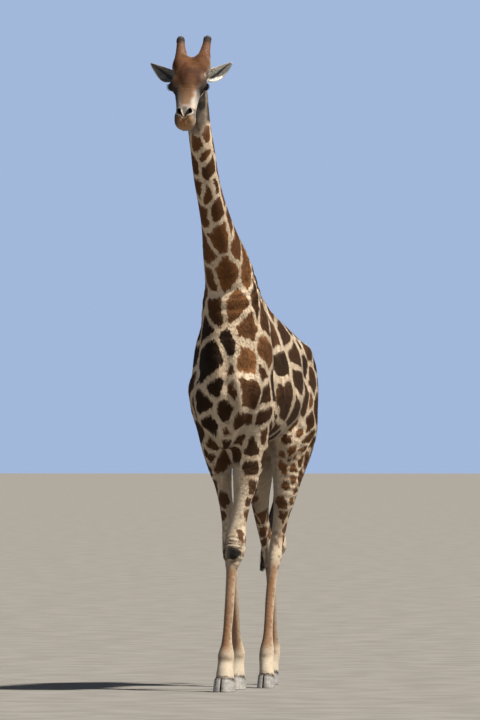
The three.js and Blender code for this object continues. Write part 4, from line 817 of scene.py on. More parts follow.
# Middles and sizes of the patches of the side that the animal is known by; the rest of the body is filled between them.
PATCHES = np.array([  # x, y, z and how far it reaches, in centimetres
    (-2, -99, 416, 4.2), (5, -97, 422, 3.9), (2, -93, 407, 3.9), (-7, -90, 401, 4.7), (4, -88, 397, 5.4), (-5, -82, 383, 4.9), (1, -80, 379, 5.0), (7, -78, 384, 4.0),
    (7, -71, 397, 6.1), (7, -59, 382, 6.8), (-5, -67, 360, 6.3), (6, -69, 365, 6.4), (10, -49, 361, 8.4), (5, -58, 345, 8.7), (-9, -51, 339, 9.1), (13, -36, 342, 9.8),
    (16, -22, 325, 11.4), (6, -40, 318, 9.7), (-8, -37, 314, 6.2), (21, -9, 300, 7.3), (-6, -35, 290, 8.1), (12, -31, 294, 9.2), (23, 4, 288, 8.5), (-12, -32, 277, 8.5),
    (17, -26, 277, 9.0), (17, 54, 287, 5.0), (22, 64, 276, 10.2), (19, 109, 274, 5.4), (-10, -41, 253, 13.6), (5, -41, 264, 6.3), (19, -30, 252, 10.1), (28, -7, 258, 7.8),
    (28, -15, 243, 4.1), (28, 35, 248, 8.9), (28, 72, 258, 8.0), (25, 101, 266, 3.6), (29, 119, 260, 4.3), (30, 102, 251, 6.0), (-3, -46, 235, 9.1), (8, -44, 245, 4.2),
    (11, -43, 229, 5.1), (22, -34, 228, 10.8), (30, -12, 227, 7.4), (32, 69, 236, 8.2), (32, 37, 225, 11.1), (32, 116, 239, 8.0), (-11, -44, 223, 6.1), (4, -39, 214, 6.0),
    (-7, -39, 203, 5.9), (17, -34, 204, 8.4), (28, -10, 210, 6.6), (26, -7, 197, 4.0), (31, 12, 207, 4.3), (34, 60, 217, 7.8), (29, 5, 198, 6.0), (3, -34, 199, 3.0),
    (-14, -13, 189, 4.1), (2, -32, 190, 3.5), (9, -17, 192, 3.6), (18, -12, 187, 4.3), (-17, -10, 182, 3.3), (-7, -7, 176, 4.8), (18, -12, 172, 3.5), (33, 109, 223, 3.7),
    (33, 111, 208, 4.9), (31, 76, 198, 5.4), (31, 109, 195, 4.6), (26, 76, 189, 4.2), (28, 99, 185, 3.6), (19, 91, 178, 2.2), (27, 98, 176, 3.0),
    (19, 63, 195, 2.6), (21, 85, 194, 3.4), (22, 87, 184, 3.4), (16, 86, 182, 2.9), (16, 91, 172, 3.1), (23, 95, 171, 3.1), (26, 96, 179, 2.8), (22, 96, 162, 2.7),
    (18, 94, 157, 2.3), (23, 101, 153, 2.5), (20, 99, 144, 2.3), (26, 94, 198, 3.1), (24, 87, 203, 2.9),
]) / 100


# The factors below 1, for the patches on the breast's right half, are painted shadow.
LIGHTER = {13: 1.3, 16: 1.5, 17: 1.5, 21: 1.45, 24: 1.5, 23: 0.5, 28: 0.45, 29: 0.5, 38: 0.6, 46: 0.7, 48: 0.7, 30: 3.1, 31: 2.2, 40: 1.3, 55: 1.5, 63: 2.2, 65: 1.7, 73: 1.3, 74: 1.6, 75: 1.7, 76: 1.5, 77: 1.5, 78: 1.7, 79: 1.6, 80: 1.6, 81: 1.5, 82: 1.5, 83: 1.6, 84: 1.5, 85: 1.4}  # numbers of the patches that are paler or darker


def flat(P):
    """The body pulled so that the patches come out round: they are taller than wide, and longest along the barrel."""
    y = P[:, 1] - 0.36 * ramp(1.80, 2.10, P[:, 2]) * np.clip(P[:, 1] - 0.05, 0, 0.85)
    return np.stack([P[:, 0], y, P[:, 2] * 0.74 - 0.12 * np.maximum(P[:, 2] - 2.9, 0)], 1)


def spread(V):
    """Middles and reach of all patches: the known ones, then more wherever the skin still has room."""
    pick = np.random.default_rng(7)
    tries = V[pick.permutation(len(V))[:60000]]
    reach = patch_size(tries) * 0.5 * pick.uniform(0.78, 1.15, len(tries))
    flat_tries = flat(tries)
    got, flat_got, size = PATCHES[:, :3], flat(PATCHES[:, :3]), PATCHES[:, 3]
    start = len(got)
    for p, q, r in zip(tries, flat_tries, reach):
        e = flat_got - q
        apart = np.where(np.arange(len(size)) < start, 1.16, 0.86) * (size + r)
        if (np.einsum("ij,ij->i", e, e) > apart**2).all():
            got, flat_got, size = np.concatenate([got, p[None]]), np.concatenate([flat_got, q[None]]), np.append(size, r)
    return got, size, start


def covered(P):
    """Where patches grow at all: not below the knees, nor on the belly's midline and the insides of the legs."""
    x, y, z = P.T
    keep = z > 0.97 + 0.15 * (y < 0.45)
    fore = (y < 0.45) & (z < 1.72)
    hind = (y >= 0.45) & (z < 1.72)
    mid = np.where(x > 0, np.interp(z, FORE_MID[::-1, 2], FORE_MID[::-1, 0]), np.interp(z, FORE_MID_R[::-1, 2], FORE_MID_R[::-1, 0]))
    inner = np.where(x > 0, x < mid - 0.02, x > mid + 0.02)
    keep &= ~(fore & inner)
    keep &= ~((y < 0.45) & (x > 0.05) & (z < 1.90) & (x < mid + 0.005))
    keep &= ~(fore & (x > 0) & (z < 1.66) & (x < mid + 0.035) & (y < np.interp(z, FORE_MID[::-1, 2], FORE_MID[::-1, 1]) - 0.01))
    mid = np.where(x > 0, np.interp(z, HIND_MID[::-1, 2], HIND_MID[::-1, 0]), np.interp(z, HIND_MID_R[::-1, 2], HIND_MID_R[::-1, 0]))
    inner = np.where(x > 0, x < mid - 0.065, x > mid + 0.065)
    keep &= ~(hind & inner)
    keep &= ~((np.abs(x) < 0.12) & (y > 0.0) & (y < 1.3) & (z < 1.95))
    a, b, c = in_head(P)
    face = (z > 4.15) & (a > 0.0) & (y < -1.02)
    keep &= ~(face & ((a > 0.44) | (b > 0.02) | (a < 0.05)))
    keep &= ~((z > 4.335) & (y < np.interp(z, NAPE[:, 2], NAPE[:, 1]) + 0.02) & ~face)
    return keep


NAPE = np.array([r[:3] for r in NECK])
FORE_MID, FORE_MID_R, HIND_MID, HIND_MID_R = (np.array([r[:3] for r in t]) for t in (FORE_L, FORE_R, HIND_L, HIND_R))


def markings(P, seeds, size, known):
    """How far inside its patch each point lies, in metres (below 0 in the pale net), and which patch that is."""
    warp = P + 0.015 * noise3(P, 0.17, 11) + 0.0125 * noise3(P, 0.060, 21) + 0.0085 * noise3(P, 0.024, 31) + 0.0035 * noise3(P, 0.011, 35)
    C = flat(seeds)
    cc = (C * C).sum(1) - size**2
    grown = covered(seeds)
    pick = np.random.default_rng(3)
    some = pick.random(len(seeds))
    there = np.where(seeds[:, 2] < 1.75, some < np.interp(seeds[:, 2], [0.9, 1.1, 1.45, 1.75], [0.35, 0.62, 0.88, 1.0]), True)
    a, b, c = in_head(seeds)
    face = (seeds[:, 2] > 4.15) & (a > -0.02) & (seeds[:, 1] < -1.0)
    there &= ~face | (some < 0.5)
    grown &= there | (np.arange(len(seeds)) < known)
    limit = size * (1.45 + 0.25 * pick.random(len(seeds)))
    limit[seeds[:, 2] < 1.75] *= np.interp(seeds[seeds[:, 2] < 1.75, 2], [0.9, 1.2, 1.75], [0.66, 0.78, 1.0])
    limit[face] *= 0.62
    half = gap_half(P)
    mark, who = np.empty(len(P)), np.empty(len(P), int)
    for s in range(0, len(P), 8000):
        q = flat(warp[s : s + 8000])
        d2 = (q * q).sum(1)[:, None] + cc[None] - 2 * q @ C.T
        near = np.argpartition(d2, 6, axis=1)[:, :7]
        dn = np.take_along_axis(d2, near, 1)
        order = np.argsort(dn, axis=1)
        near, dn = np.take_along_axis(near, order, 1), np.take_along_axis(dn, order, 1)
        one = near[:, 0]
        apart = np.linalg.norm(C[near[:, 1:]] - C[one][:, None], axis=2)
        edge = ((dn[:, 1:] - dn[:, :1]) / (2 * np.maximum(apart, 1e-4))).min(1)
        m = np.minimum(edge - half[s : s + 8000], (limit[one] - np.sqrt(np.maximum(dn[:, 0] + size[one] ** 2, 0))) * 0.8)
        mark[s : s + 8000] = np.where(grown[one], m, -0.02)
        who[s : s + 8000] = one
    return mark, who


def mixed(a, b, f):
    return a + (b - a) * np.asarray(f)[:, None]


def tones(P, N, who):
    """The patch's brown and the ground's cream at each point, with the face, knees and feet coloured as they are, and
    painted shade and light on the legs, belly, face and throat.
    """
    x, y, z = P.T
    pick = np.random.default_rng(5)
    n = who.max() + 1
    lively, warm = pick.uniform(0.68, 1.32, n), pick.uniform(0, 1, n)
    for k, more in LIGHTER.items():
        lively[k], warm[k] = more, 0.9 if more > 1 else 0.0
    lively, warm = lively[who], warm[who]
    on_neck = ramp(2.6, 3.2, z)
    thigh = ramp(1.2, 1.0, 3.0 - z) * (y > 0.6)
    cool, hot = np.array([0.026, 0.0135, 0.0060]), np.array([0.122, 0.050, 0.0165])
    heat = np.clip(0.15 + 0.55 * on_neck + 0.35 * warm + 0.30 * (y > 0.6) * (z < 2.0), 0, 1)
    brown = mixed(np.tile(cool, (len(P), 1)), hot, heat) * lively[:, None]
    brown = brown * (1 + 0.16 * noise(P, 0.05, 41) + 0.10 * noise(P, 0.015, 42))[:, None]
    cream, buff = np.array([0.66, 0.545, 0.41]), np.array([0.56, 0.425, 0.285])
    ground = mixed(np.tile(cream, (len(P), 1)), buff, np.clip(0.35 + 0.45 * noise(P, 0.25, 43) + 0.25 * on_neck, 0, 1))
    # Legs: pale, tan down the front of the cannons, greyer behind, brown at the fetlocks.
    low = 1 - ramp(1.35, 1.75, z)
    ground = mixed(ground, np.array([0.58, 0.485, 0.365]), low * 0.8)
    blush = ramp(0.05, 0.42, noise(P * [1, 1, 0.7], 0.060, 62)) * (1 - ramp(1.75, 2.0, z)) * ramp(1.05, 1.2, z)
    ground = mixed(ground, np.array([0.36, 0.235, 0.150]), 0.50 * blush)
    front = np.clip(-N[:, 1] * 0.95 + 0.1, 0, 1) ** 1.3
    cannon = (1 - ramp(0.90, 1.01, z)) * ramp(0.26, 0.36, z)
    ground = mixed(ground, np.array([0.285, 0.138, 0.064]), cannon * np.minimum(front * 1.25, 1) * (0.88 + 0.12 * noise(P, 0.10, 44)))
    # Greyer behind, and darker still on the inner faces: that extra darkening is painted shade.
    inside = np.where(x > 0, -N[:, 0], N[:, 0])
    ground = mixed(ground, np.array([0.27, 0.20, 0.14]), cannon * (1 - front) * np.clip(0.62 + 0.35 * inside + 0.25 * noise(P, 0.08, 45), 0, 1))
    side_fleck = ramp(0.15, 0.38, noise(P * [1, 1, 1.6], 0.024, 61)) * cannon * np.exp(-(((N[:, 1] + 0.45) / 0.30) ** 2))
    ground = mixed(ground, np.array([0.15, 0.085, 0.050]), 0.60 * side_fleck)
    lock = np.exp(-(((z - 0.250) / 0.022) ** 2)) * front
    ground = mixed(ground, np.array([0.15, 0.085, 0.050]), lock * 0.85 * np.clip(0.8 + 0.6 * noise(P, 0.03, 46), 0, 1))
    pastern = 1 - ramp(0.20, 0.26, z)
    ground = mixed(ground, np.array([0.60, 0.515, 0.40]), pastern * 0.8)
    ground = mixed(ground, np.array([0.055, 0.042, 0.034]), 0.9 * (1 - ramp(0.086, 0.104, z + 0.02 * noise(P, 0.02, 47))))
    # Fine brown flecks over the knees and hocks.
    fleck = ramp(0.22, 0.42, noise(P, 0.026, 48)) * np.exp(-(((z - 1.08) / 0.26) ** 2)) * ramp(0.75, 0.95, z)
    ground = mixed(ground, np.array([0.17, 0.092, 0.050]), 0.75 * fleck)
    # Bare callus on the bent fore knee, and greyer skin on the other.
    for kx, ky, kz, much in ((0.045, -0.262, 1.050, 1.0), (-0.036, 0.015, 1.045, 0.55)):
        q = np.sqrt(((x - kx) / 0.098) ** 2 + ((y - ky) / 0.085) ** 2 + ((z - kz - 0.004 + 0.010 * noise(P, 0.04, 49)) / 0.052) ** 2)
        cap = much * (1 - ramp(0.84, 1.04, q)) * np.clip(-N[:, 1] * 3 + 0.3, 0, 1)
        ground = mixed(ground, np.array([0.026, 0.022, 0.020]), cap)
        brown = mixed(brown, np.array([0.026, 0.022, 0.020]), cap)
        # A darker band over the folds above each knee: painted shade in the creases.
        ground = mixed(ground, np.array([0.16, 0.125, 0.095]), 0.55 * much * np.exp(-(((z - kz - 0.075) / 0.030) ** 2)) * np.clip(-N[:, 1] * 2, 0, 1) * (np.abs(x - kx) < 0.12) * (np.abs(y - ky) < 0.12))
    # The far thigh's inside is darkened with painted shade, and patches fade down the legs.
    far = (x < 0.10) * (y > 0.45) * ramp(1.22, 1.42, z) * (1 - ramp(1.90, 2.02, z))
    ground = mixed(ground, np.array([0.235, 0.175, 0.125]), far * np.clip(0.62 + 0.4 * noise(P, 0.07, 68), 0, 1))
    brown = mixed(brown, np.array([0.135, 0.070, 0.036]), 0.50 * (1 - ramp(1.45, 1.85, z)))
    ground = ground * (1 - 0.13 * (1 - ramp(0.95, 1.15, z)))[:, None]
    # Painted shade: the belly's underside and the insides of the legs are darkened where their faces turn down or
    # inwards.
    under = np.clip(-N[:, 2], 0, 1) * (z > 1.6) * (z < 2.4)
    ground = mixed(ground, np.array([0.40, 0.345, 0.275]), under * 0.7)
    inner = np.where(x > 0, -N[:, 0], N[:, 0]) * (z < 1.85)
    ground = mixed(ground, np.array([0.40, 0.33, 0.25]), 0.65 * np.clip(inner * 1.6, 0, 1) * ramp(0.45, 0.9, z))
    # Tail.
    ground = mixed(ground, np.array([0.42, 0.33, 0.22]), (y > 1.70) * (z > 1.4) * (z < 2.45) * 1.0)
    a, b, c = in_head(P)
    side = np.abs(c)
    top = ramp(-0.03, 0.02, b)
    head = ramp(4.12, 4.30, z) * (1 - ramp(-1.06, -0.93, y + 0.03 * noise(P, 0.04, 50))) * (ramp(0.0, 0.06, a) * (1 - top) + ramp(-0.13, -0.07, a) * top)
    face = np.tile(np.array([0.325, 0.295, 0.262]), (len(P), 1)) * (1 + 0.16 * noise(P, 0.03, 51) + 0.10 * noise(P, 0.010, 58))[:, None]
    blot = ramp(0.05, 0.45, noise(P, 0.045, 52)) * (b < 0.01) * (a < 0.50)
    face = mixed(face, np.array([0.120, 0.085, 0.065]), 0.60 * blot)
    brow = ramp(-0.005, 0.045, b + 0.02 * noise(P, 0.05, 53)) * (1 - ramp(0.30, 0.43, a + 0.4 * side))
    face = mixed(face, np.array([0.098, 0.040, 0.019]), brow)
    mottle = ramp(-0.02, 0.35, noise(P * [1, 1, 0.6], 0.030, 66)) * brow
    face = mixed(face, np.array([0.045, 0.021, 0.013]), 0.58 * mottle)
    temple = np.exp(-(((a - 0.205) / 0.042) ** 2)) * ramp(0.085, 0.105, side) * ramp(-0.01, 0.02, b)
    face = mixed(face, np.array([0.24, 0.20, 0.16]), 0.25 * temple)
    crown = (1 - ramp(0.10, 0.20, a)) * ramp(-0.03, 0.03, b)
    face = mixed(face, np.array([0.135, 0.058, 0.024]), 0.8 * crown * (1 - 0.5 * mottle))
    bridge = (1 - ramp(0.052 - 0.05 * ramp(0.30, 0.47, a) * 0.6, 0.078 - 0.05 * ramp(0.30, 0.47, a) * 0.5, side + 0.012 * noise(P, 0.03, 54))) * ramp(0.22, 0.32, a) * (1 - ramp(0.455, 0.475, a)) * (b > -0.01)
    face = mixed(face, mixed(np.tile([0.155, 0.078, 0.037], (len(P), 1)), np.array([0.225, 0.135, 0.080]), ramp(0.30, 0.44, a)), bridge)
    end = np.exp(-(((a - 0.472) / 0.013) ** 2)) * (b > 0) * (side < 0.075)
    face = mixed(face, np.array([0.36, 0.26, 0.21]), 0.8 * end)
    # Painted shade: the hollows before the eyes are darkened, more on the right, and the face's right side is darkened
    # while its left cheek is brightened with painted light.
    hollow = np.exp(-(((a - 0.345 - 0.3 * (b + 0.02)) / 0.060) ** 2)) * ramp(0.062, 0.085, side) * ramp(-0.075, -0.02, b)
    face = mixed(face, np.array([0.060, 0.050, 0.043]), np.clip(0.85 * hollow + 0.10 * (c < 0) * hollow, 0, 1))
    face = face * (1 - 0.50 * ramp(0.040, 0.075, -c) * ramp(0.20, 0.28, a) + 0.65 * ramp(0.030, 0.055, c) * ramp(0.28, 0.36, a) * (b > -0.03))[:, None]
    grey = ramp(0.475, 0.492, a) * (1 - ramp(0.575, 0.60, a)) * ramp(-0.035, 0.005, b)
    face = mixed(face, np.array([0.125, 0.108, 0.096]), 0.92 * grey)
    lips = ramp(0.545, 0.585, a - 0.08 * np.minimum(b, 0) + 0.010 * noise(P, 0.018, 55) + 0.004 * noise(P, 0.006, 57))
    # The lips' tan is paler on the left side, painted light, and darker on the right side, painted shade.
    tan = mixed(np.tile([0.330, 0.160, 0.062], (len(P), 1)), np.array([0.34, 0.25, 0.165]), ramp(0.030, 0.075, c + 0.01 * noise(P, 0.02, 59)))
    tan = mixed(tan, np.array([0.085, 0.066, 0.052]), ramp(0.028, 0.070, -c + 0.01 * noise(P, 0.02, 59)))
    face = mixed(face, tan, 0.95 * lips)
    muzzle_side = ramp(0.45, 0.52, a) * (1 - ramp(-0.03, 0.0, b)) * (1 - lips)
    face = mixed(face, np.array([0.27, 0.21, 0.16]), 0.8 * muzzle_side)
    chin = ramp(0.50, 0.55, a) * (1 - ramp(-0.075, -0.055, b))
    face = mixed(face, np.array([0.130, 0.115, 0.098]), 0.85 * chin)
    u = a - NOSTRIL[0]
    v = side - NOSTRIL[2] + 0.30 * u
    r = np.sqrt((u / 0.040) ** 2 + ((v + 12 * u * u - 0.003) / 0.0200) ** 2)
    rim = np.exp(-(((r - 1.16) / 0.17) ** 2)) * (b > 0.0) * (0.45 + 0.55 * ramp(-0.035, 0.0, u + 0.25 * v))
    face = mixed(face, np.array([0.60, 0.53, 0.43]), 0.92 * rim)
    # Painted shade: the insides of the nostrils are painted near black.
    face = mixed(face, np.array([0.018, 0.014, 0.013]), (1 - ramp(0.90, 1.04, r)) * (b > 0.0))
    # A dark line along the mouth: painted shade in its groove.
    line = -0.052 - 0.055 * np.clip(0.60 - a, 0, 1) + 0.010 * np.cos((a - 0.45) * 22)
    face = mixed(face, np.array([0.040, 0.026, 0.022]), 0.9 * np.exp(-(((b - line) / 0.004) ** 2)) * ramp(0.44, 0.48, a))
    # Round each eye a dark ring, partly its own dark skin and partly painted shade from the brow.
    for s in (1, -1):
        q = P - EYE_AT[s]
        slit, up, out = eye_axes(s)
        h, w, o = q @ slit, q @ up, q @ out
        ring = np.sqrt(((h - 0.005) / 1.40) ** 2 + ((w + 0.002) / 1.05) ** 2)
        near = (o > -0.04) & (np.linalg.norm(q, axis=1) < 0.12)
        dark = (1 - ramp(0.044, 0.066, ring - 0.006 * np.clip(h / 0.03, -1, 1) + 0.003 * noise(P, 0.012, 56))) * near
        tear = np.exp(-((w + 0.004) ** 2 / 0.007**2)) * ramp(0.015, 0.022, h) * (1 - ramp(0.040, 0.062, h)) * near
        face = mixed(face, np.array([0.040, 0.032, 0.028]), 0.93 * np.maximum(dark, 0.85 * tear))
        ahead, above, aside = q @ E_A, q @ E_B, q @ E_C * s
        # A near-black patch before the eye: painted shade in its hollow.
        before = np.exp(-(((ahead - 0.034) / 0.036) ** 4)) * np.exp(-(((above + 0.004) / 0.034) ** 4)) * ramp(-0.040, -0.022, aside + 0.004 * noise(P, 0.02, 69))
        face = mixed(face, np.array([0.018, 0.016, 0.015]), 0.88 * before)
        lower = np.exp(-(((ring - 0.068) / 0.008) ** 2)) * (w < 0.0) * near
        face = mixed(face, np.array([0.52, 0.47, 0.40]), 0.5 * lower)
    under = np.clip(-(N @ E_B), 0, 1) * (b < -0.07)
    face = mixed(face, np.array([0.50, 0.44, 0.36]), 0.5 * under * (a < 0.5))
    # The throat below the jaw is grey and mottled, and painted shadow of the head darkens it and the jaw's underside
    # towards the left.
    throat = ramp(4.27, 4.34, z + 0.03 * noise(P, 0.05, 63)) * (1 - head) * (1 - ramp(-0.79, -0.70, y + 0.02 * noise(P, 0.04, 64)))
    ground = mixed(ground, mixed(np.tile([0.125, 0.105, 0.092], (len(P), 1)), np.array([0.042, 0.034, 0.028]), ramp(-0.1, 0.5, noise(P, 0.035, 65) + 0.65 * N[:, 0])), throat)
    gorge = ramp(0.095, 0.140, -b + 0.012 * noise(P, 0.03, 67)) * (a < 0.46)
    face = mixed(face, mixed(np.tile([0.135, 0.115, 0.100], (len(P), 1)), np.array([0.045, 0.036, 0.030]), ramp(-0.1, 0.5, noise(P, 0.035, 65) + 0.60 * N[:, 0])), 0.88 * gorge)
    ground = mixed(ground, face, head)
    brown = mixed(brown, np.array([0.215, 0.150, 0.110]), head * 0.85)
    return brown, ground


# ---- Eyes, horns, ears and hooves ------------------------------------------------------------------------------------
def tube(rings_, close_start=True, close_end=True, flip=False):
    """A closed tube of triangles through rings of equally many points."""
    R = np.asarray(rings_, float)
    k, n = R.shape[:2]
    V = R.reshape(-1, 3)
    i, j = np.meshgrid(np.arange(k - 1), np.arange(n), indexing="ij")
    a, b = (i * n + j).ravel(), (i * n + (j + 1) % n).ravel()
    F = [np.stack((a, b, b + n), 1), np.stack((a, b + n, a + n), 1)]
    extra = []
    for at, turn, on in ((0, True, close_start), (k - 1, False, close_end)):
        if on:
            c = len(V) + len(extra)
            extra.append(R[at].mean(0))
            a, b = at * n + np.arange(n), at * n + (np.arange(n) + 1) % n
            F.append(np.stack((np.full(n, c), b, a) if turn else (np.full(n, c), a, b), 1))
    F = np.concatenate(F)
    return (np.concatenate([V, extra]) if extra else V), (F[:, ::-1] if flip else F)


def outward(V, F):
    """Turns a closed mesh's faces outwards."""
    p = V[F]
    return F if (np.cross(p[:, 0], p[:, 1]) * p[:, 2]).sum() > 0 else F[:, ::-1]


def eye_shader():
    m = Shader("eye", Roughness=0.06, IOR=1.34)
    m.b.inputs["Coat Weight"].default_value = 0.35
    m.b.inputs["Coat Roughness"].default_value = 0.02
    p = m.place()
    rays = m.noise(m.stretch(p, (1, 1, 1)), 240, 3, 0.6)
    iris = m.mix(m.fit(m.value("pupil"), 0.0, 1.0), m.mix(m.fit(rays, 0.3, 0.7), (0.010, 0.006, 0.004), (0.026, 0.013, 0.007)), (0.0025, 0.002, 0.002))
    m.to("Base Color", m.mix(m.value("white"), iris, (0.030, 0.018, 0.014)))
    m.to("Normal", m.bump(rays, 0.0002, 0.25))
    return m.m


def build_eyes():
    shader = eye_shader()
    for side, name in ((1, "left"), (-1, "right")):
        slit, up, out = eye_axes(side)
        th, ph = np.meshgrid(np.linspace(0.001, math.pi - 0.001, 40), np.linspace(0, 2 * math.pi, 56, endpoint=False), indexing="ij")
        bulge = 0.0022 * np.exp(-((th / 0.55) ** 2)) - 0.0007
        r = EYE_R + bulge
        pts = EYE_AT[side] + (r * np.cos(th))[..., None] * out + (r * np.sin(th) * np.cos(ph))[..., None] * slit + (r * np.sin(th) * np.sin(ph))[..., None] * up
        V, F = tube(pts)
        o = make("eyeball_" + name, V, outward(V - EYE_AT[side], F), shader)
        q = V - EYE_AT[side]
        h, v, w = q @ slit, q @ up, q @ out
        paint(o, "pupil", np.where(w > 0, 1 - ramp(0.80, 1.0, np.sqrt((h / 0.0095) ** 2 + (v / 0.0058) ** 2)), 0))
        paint(o, "white", ramp(0.0185, 0.0215, np.hypot(h, v)))
        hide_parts("eye_" + name)


def horn_profile():
    L, B = OSSICONE["length"], OSSICONE["base"]
    rows = np.array([(B * 0.9, -0.02), (B, 0.03), (B * 0.86, 0.075), (OSSICONE["mid"], 0.125), (OSSICONE["shaft"], 0.175), (OSSICONE["knob"], L - 0.035), (OSSICONE["knob"] * 0.97, L - 0.018), (OSSICONE["knob"] * 0.66, L - 0.004), (0.0008, L)])
    return rows


def horn_axis(side):
    axis = unit(np.array([side * OSSICONE["splay"] + OSSICONE["lean"][0], OSSICONE["lean"][1], OSSICONE["lean"][2]]))
    root = np.array(OSSICONE["middle"]) + LEFT * side * OSSICONE["apart"]
    return root, axis


def horn_shader():
    m = Shader("horn_hide", Roughness=0.7, IOR=1.45)
    p = m.place()
    grain = m.noise(m.stretch(p, (1, 1, 0.3)), 300, 4, 0.6)
    lumps = m.noise(p, 55, 4, 0.6)
    base = m.mix(m.fit(grain, 0.3, 0.7), (0.62, 0.58, 0.55), (1.30, 1.28, 1.25))
    m.to("Base Color", m.mix(0.8, m.colour("tone"), base, "MULTIPLY"))
    m.to("Normal", m.bump(m.maths("ADD", grain, m.maths("MULTIPLY", lumps, 0.7)), 0.003, 0.6))
    m.to("Roughness", m.fit(lumps, 0.3, 0.7, 0.55, 0.85))
    return m.m


def horn_tone(P, height, share):
    """Red-brown hide that pales to orange, then a worn grey-black tip with a pale crown."""
    n = len(P)
    low, mid = np.array([0.125, 0.052, 0.022]), np.array([0.155, 0.067, 0.027])
    c = mixed(np.tile(low, (n, 1)), mid, ramp(0.04, 0.13, height) * 0.9)
    c = c * (1 + 0.14 * noise(P, 0.022, 61) + 0.10 * noise(P, 0.008, 62))[:, None]
    tip = ramp(0.172, 0.192, height + 0.008 * noise(P, 0.012, 63))
    c = mixed(c, np.array([0.020, 0.017, 0.017]), 0.92 * tip)
    return mixed(c, np.array([0.085, 0.080, 0.076]), 0.7 * ramp(0.215, 0.230, height + 0.008 * noise(P, 0.010, 64)))


def build_horns():
    shader = horn_shader()
    out = []
    for side, name in ((1, "left"), (-1, "right")):
        root, axis = horn_axis(side)
        e1 = unit(np.cross(axis, np.array([0, 1, 0.0])))
        e2 = np.cross(axis, e1)
        rows = horn_profile()
        t = np.linspace(0, len(rows) - 1, 46)
        k = np.clip(t.astype(int), 0, len(rows) - 2)
        f = (t - k)[:, None]
        p0, p1, p2, p3 = rows[np.maximum(k - 1, 0)], rows[k], rows[k + 1], rows[np.minimum(k + 2, len(rows) - 1)]
        prof = 0.5 * (2 * p1 + (p2 - p0) * f + (2 * p0 - 5 * p1 + 4 * p2 - p3) * f * f + (3 * p1 - p0 - 3 * p2 + p3) * f**3)
        prof[:, 0] = np.maximum(prof[:, 0] - 0.0022 * ramp(0.2, 0.0, prof[:, 1]), 0.0006)
        a = np.linspace(0, 2 * math.pi, 44, endpoint=False)
        P = root + prof[:, 1][:, None, None] * axis + prof[:, 0][:, None, None] * (np.cos(a)[:, None] * e1 + np.sin(a)[:, None] * e2)
        V, F = tube(P)
        height = (V - root) @ axis
        r = V - root - height[:, None] * axis
        knob = ramp(0.18, 0.21, height)
        V = V + unit(r) * ((-0.0012 + 0.0016 * noise(V, 0.030, 65) + 0.0011 * noise(V, 0.012, 66)) * (0.6 + knob))[:, None]
        F = outward(V - root - axis * 0.1, F)
        o = make("horn_" + name, V, F, shader)
        paint(o, "tone", horn_tone(V, height, 0))
        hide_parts("ossicone_" + name)
        out.append((V, F, height, axis, root))
    return out


def ear_point(side, t, a, lift):
    """A point of an ear's sheet: t from root to tip, a across from -1 to 1, lift off the middle surface to the back."""
    out = np.array([side * math.cos(math.radians(EAR["rise"])), 0, math.sin(math.radians(EAR["rise"]))])
    sweep = math.radians(EAR["sweep"])
    aim = unit(out * math.cos(sweep) + np.array([0, math.sin(sweep), 0]))
    face = unit(np.array([0, -1.0, 0]) + aim * aim[1])
    across = np.cross(aim, face)
    root = head_point(EAR["a"], EAR["b"], side * EAR["c"] + EAR["aside"])
    t, a, lift = np.broadcast_arrays(np.asarray(t, float), a, lift)
    w = np.maximum(0.004, EAR["width"] * np.clip(np.sin(math.pi * (0.16 + 0.84 * t)), 0, 1) ** 0.75 * (1 - 0.2 * t))
    curl = 1.75 - 1.05 * t
    r = w / np.sin(np.minimum(curl, math.pi / 2))
    c = root + EAR["length"] * t[..., None] * aim - (0.018 * np.sin(math.pi * t))[..., None] * face - (EAR["sag"] * np.sin(math.pi * t))[..., None] * np.array([0, 0, 1.0])
    ang = curl * a
    rad = np.maximum(r + lift, r * 0.3)
    p = c + (rad * np.sin(ang))[..., None] * across + (r * 0.7 - rad * np.cos(ang))[..., None] * face
    n = unit(np.sin(ang)[..., None] * across - np.cos(ang)[..., None] * face)
    return p, n, aim, across


def ear_tone(side, t, a, inner, P):
    """White edges, a black stripe along the upper half, grey skin deep inside; the back is pale with a brown root."""
    up = a * EAR_UP[side]
    # The right ear's inside is painted much darker than the left's: painted shade.
    deep = np.tile([0.66, 0.63, 0.57] if side > 0 else [0.15, 0.14, 0.13], (len(P), 1))
    edge = ramp(0.30, 0.75, np.abs(a) + 0.25 * noise(P, 0.015, 71))
    c = mixed(deep, np.array([0.80, 0.76, 0.68] if side > 0 else [0.26, 0.245, 0.225]), edge)
    middle = -0.42 + 0.95 * t
    stripe = np.exp(-(((up - middle + 0.10 * noise(P, 0.02, 70)) / (0.16 if side > 0 else 0.24)) ** 4)) * ramp(0.02, 0.12, t) * (1 - ramp(0.93, 1.0, t))
    c = mixed(c, np.array([0.016, 0.014, 0.013]), 0.93 * stripe * inner)
    back = mixed(np.tile([0.40, 0.35, 0.29], (len(P), 1)), np.array([0.17, 0.085, 0.045]), 1 - ramp(0.05, 0.32, t + 0.1 * noise(P, 0.02, 72)))
    back = mixed(back, np.array([0.060, 0.045, 0.036]), 0.8 * ramp(0.86, 0.97, t))
    return mixed(back, c, inner) * (1 + 0.12 * noise(P, 0.012, 73))[:, None]


EAR_UP = {}
for s_ in (1, -1):
    pa = ear_point(s_, 0.5, 0.8, 0.0)[0]
    pb = ear_point(s_, 0.5, -0.8, 0.0)[0]
    EAR_UP[s_] = 1 if pa[2] > pb[2] else -1


